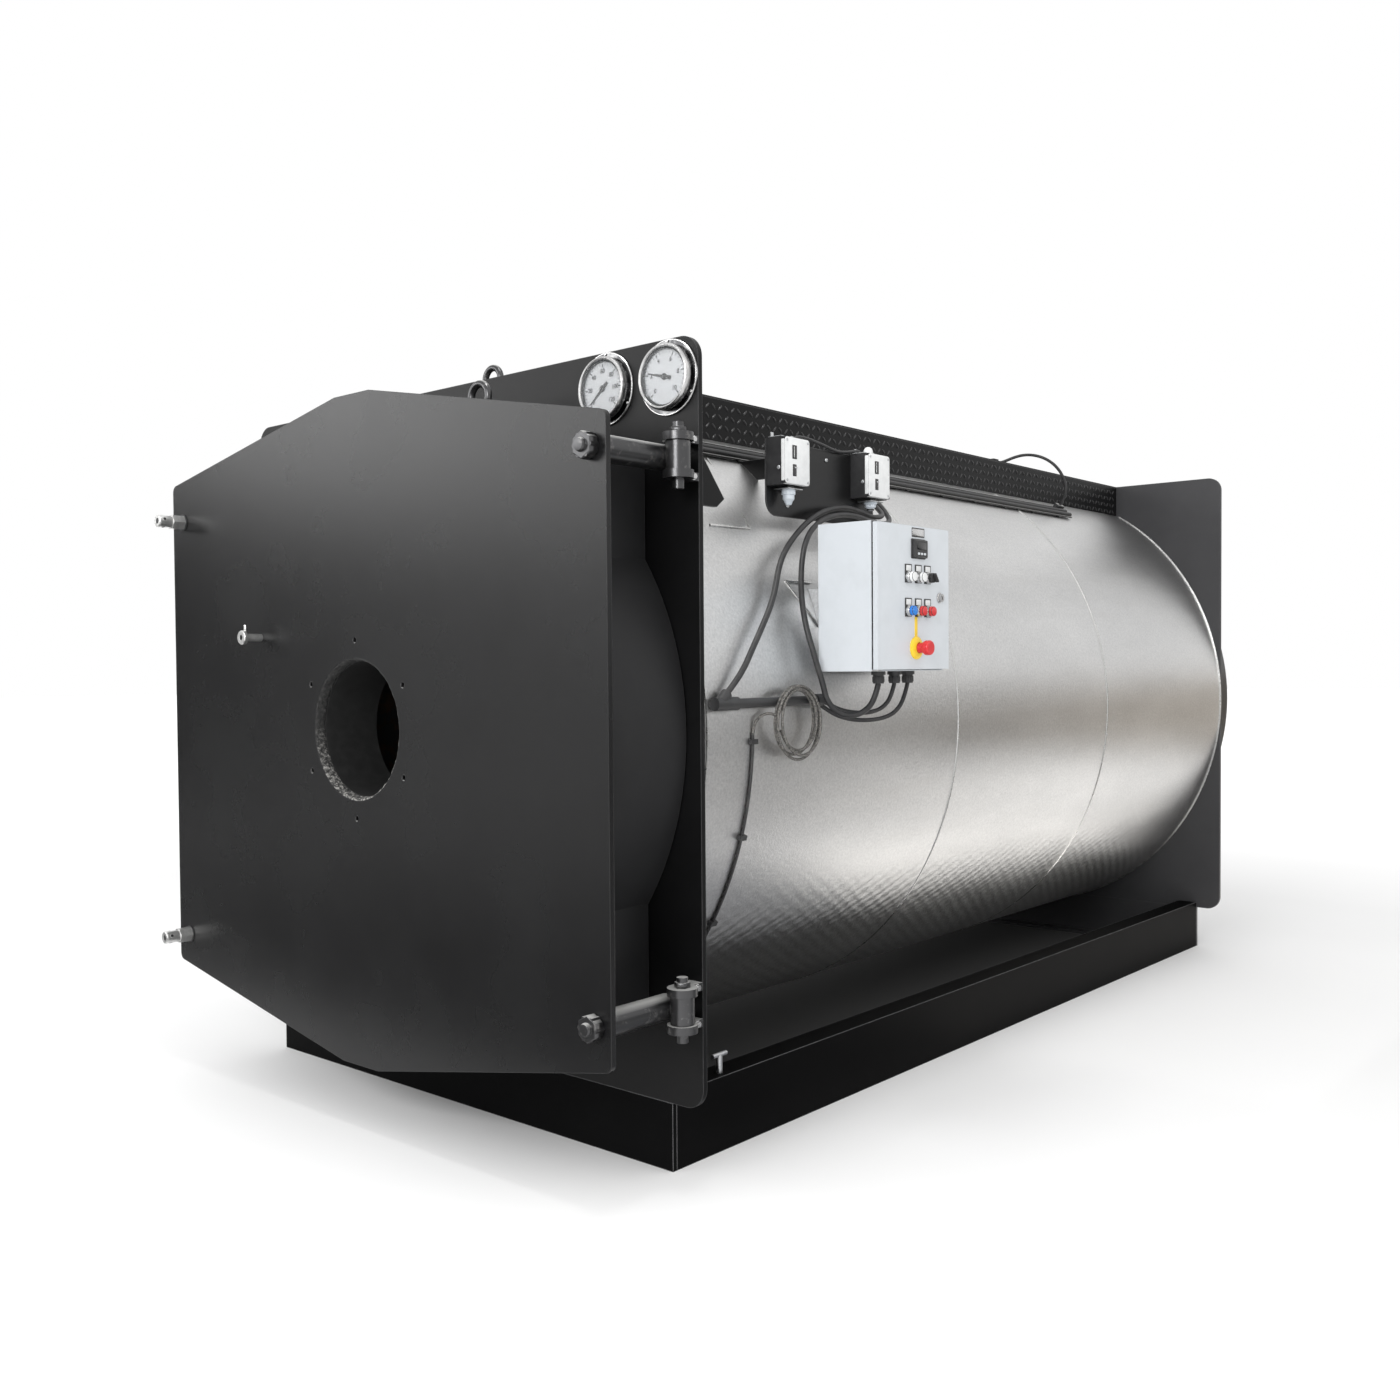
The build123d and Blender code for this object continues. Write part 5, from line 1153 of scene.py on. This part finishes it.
def rear_bolts():
    """Bolt ring of the rear cover."""
    low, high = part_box("rear_cover")
    radius = (high.x - low.x) / 2 - COVER_BOLT_INSET
    ring = repeated(bolt_head(0.016), ring_of(COVER_BOLTS, radius, radians(6)))
    piece("rear_cover_bolts", moved(ring, BACKWARD, at(0, high.y, AXIS_Z)), ZINC)


# Floor, light and camera
CAMERA_AT = (3.1411, -2.5373, 1.2809)
CAMERA_YAW = radians(40.87)
CAMERA_PITCH = radians(-1.50)
CAMERA_ROLL = radians(-0.43)
CAMERA_LENS = 34.63
FLOOR_HALF = 60.0
SHADE_REACH = 5.0
WHITE_REACH = 9.0
SKID_LOW, SKID_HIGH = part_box("skid_rail_right")
SKID_HALF = SKID_HIGH.x - 0.01
SKID_LENGTH = SKID_HIGH.y - SKID_LOW.y
SKID_MIDDLE = (SKID_LOW.y + SKID_HIGH.y) / 2


def staged(name, size, place, look):
    """Flat rectangle of the set, lying level."""
    shape = bmesh.new()
    bmesh.ops.create_grid(shape, x_segments=1, y_segments=1, size=0.5)
    moved(shape, Matrix.Diagonal((*size, 1.0, 1.0)), at(*place))
    mesh = bpy.data.meshes.new(name)
    shape.to_mesh(mesh)
    shape.free()
    sheet = bpy.data.objects.new(name, mesh)
    bpy.context.collection.objects.link(sheet)
    sheet.data.materials.append(look)
    return sheet


def floor():
    """Pale floor with painted shade under the boiler, running out into plain white."""
    def recipe(shade):
        x, y, _ = shade.axes()
        cloud = shade.noise(0.6, 3.0)
        # Painted shade: the floor is dark inside the skid's footprint, under the boiler.
        under_skid_shade = shade.math("LESS_THAN", shade.math("ABSOLUTE", x), SKID_HALF)
        under_skid_shade = under_skid_shade * shade.math("LESS_THAN", shade.math("ABSOLUTE", y - SKID_MIDDLE), SKID_LENGTH / 2)
        pale = cloud.mix(colour(0.86, 0.86, 0.86), colour(0.90, 0.90, 0.90))
        far = shade.node("VectorMath", {"operation": "LENGTH"}, {0: shade.place()}, "Value")
        white = far.fade(SHADE_REACH, WHITE_REACH)
        dull = shade.math("MINIMUM", under_skid_shade + white, 1.0)
        return {
            "Base Color": dull.mix(pale, colour(0.08, 0.08, 0.08)),
            "Roughness": 0.75 + cloud * 0.1,
            "Emission Color": white.mix(colour(0.0, 0.0, 0.0), colour(1.0, 1.0, 1.0)),
            "Emission Strength": 1.0,
        }
    staged("floor", (2 * FLOOR_HALF, 2 * FLOOR_HALF), (0.0, 0.0, 0.0), finish("pale_floor", recipe))


def flag(name, size, place, cloth, turn=None):
    """Dull card that only shows in reflections, as a studio flag does. A turned card stands upright."""
    def recipe(shade):
        weave = shade.noise(4.0, 2.0)
        return {
            "Base Color": weave.mix(colour(*cloth), colour(*(1.1 * part for part in cloth))),
            "Roughness": 0.9,
        }
    card = staged(name, size, (0, 0, 0), finish(name + "_cloth", recipe))
    if turn is not None:
        card.data.transform(spun(turn) @ FORWARD)
    card.data.transform(at(*place))
    card.visible_camera = False
    card.visible_diffuse = False
    card.visible_shadow = False


def softbox(name, place, target, width, height, watts, tint=(1.0, 1.0, 1.0)):
    """Rectangular lamp aimed at a point."""
    lamp = bpy.data.lights.new(name, "AREA")
    lamp.shape = "RECTANGLE"
    lamp.size = width
    lamp.size_y = height
    lamp.energy = watts
    lamp.color = tint
    obj = bpy.data.objects.new(name, lamp)
    bpy.context.collection.objects.link(obj)
    obj.location = place
    obj.rotation_euler = (Vector(target) - Vector(place)).to_track_quat("-Z", "Y").to_euler()
    obj.visible_camera = False


def studio():
    """Even white surroundings, softboxes above, and flags that shape the reflections in the jacket."""
    world = bpy.data.worlds.new("studio")
    bpy.context.scene.world = world
    world.use_nodes = True
    world.node_tree.nodes["Background"].inputs["Color"].default_value = colour(1.0, 1.0, 1.0)
    softbox("key", (-3.6, -4.5, 3.3), (0.0, -0.3, 1.5), 5.0, 1.8, 115.0)
    softbox("fill", (2.5, -5.2, 3.2), (1.0, 0.2, 1.4), 2.5, 2.0, 190.0)
    softbox("top", (0.9, -0.3, 4.6), (0.9, -0.25, 1.0), 0.9, 0.8, 34.0)
    softbox("side", (5.0, 1.0, 5.0), (0.5, 1.6, 1.0), 4.5, 2.5, 25.0, (1.0, 0.97, 0.93))
    softbox("far_strip", (1.90, 4.00, 0.03), (1.75, 4.00, 1.0), 3.4, 1.0, 6.5, (1.0, 0.95, 0.88))
    softbox("near_strip", (1.16, 3.55, 0.03), (1.01, 3.55, 1.0), 4.3, 0.48, 6.0, (1.0, 0.95, 0.88))
    flag("dark_card", (3.0, 1.5), (4.4, 4.4, 0.75), (0.03, 0.03, 0.03), radians(-40))
    flag("grey_card", (4.2, 1.45), (3.4, 6.8, 0.725), (0.44, 0.39, 0.33), radians(-15))
    flag("floor_card", (1.9, 2.1), (2.9, 2.25, 0.02), (0.05, 0.05, 0.055))
    flag("near_card", (1.1, 1.4), (1.5, 0.75, 0.02), (0.29, 0.295, 0.31))
    flag("front_flag", (6.0, 2.6), (-2.4, -2.2, 0.02), (0.06, 0.06, 0.06))
    flag("left_card", (5.0, 3.0), (-7.0, -3.5, 1.5), (0.04, 0.04, 0.04), radians(70))


def camera():
    """Camera at the photograph's viewpoint."""
    level = Matrix.Rotation(radians(90) + CAMERA_PITCH, 4, "X")
    lens = bpy.data.cameras.new("camera")
    lens.lens = CAMERA_LENS
    eye = bpy.data.objects.new("camera", lens)
    bpy.context.collection.objects.link(eye)
    eye.matrix_world = at(*CAMERA_AT) @ spun(CAMERA_YAW) @ level @ spun(CAMERA_ROLL)
    bpy.context.scene.camera = eye


free_leads()
spare_cable()
for gauge, (marks, reading) in GAUGE_MARKS.items():
    gauge_face(gauge, marks, reading)
flashings()
hinge_details()
closing_bolt_details()
sight_details()
burner_details()
jacket_trim()
walkway()
for switch, drop in SWITCH_DROPS.items():
    switch_details(switch, drop)
bracket_details()
button_details()
panel_details()
cabinet_inside()
gland_details()
rear_bolts()
floor()
studio()
camera()
bpy.context.scene.view_settings.view_transform = "Standard"
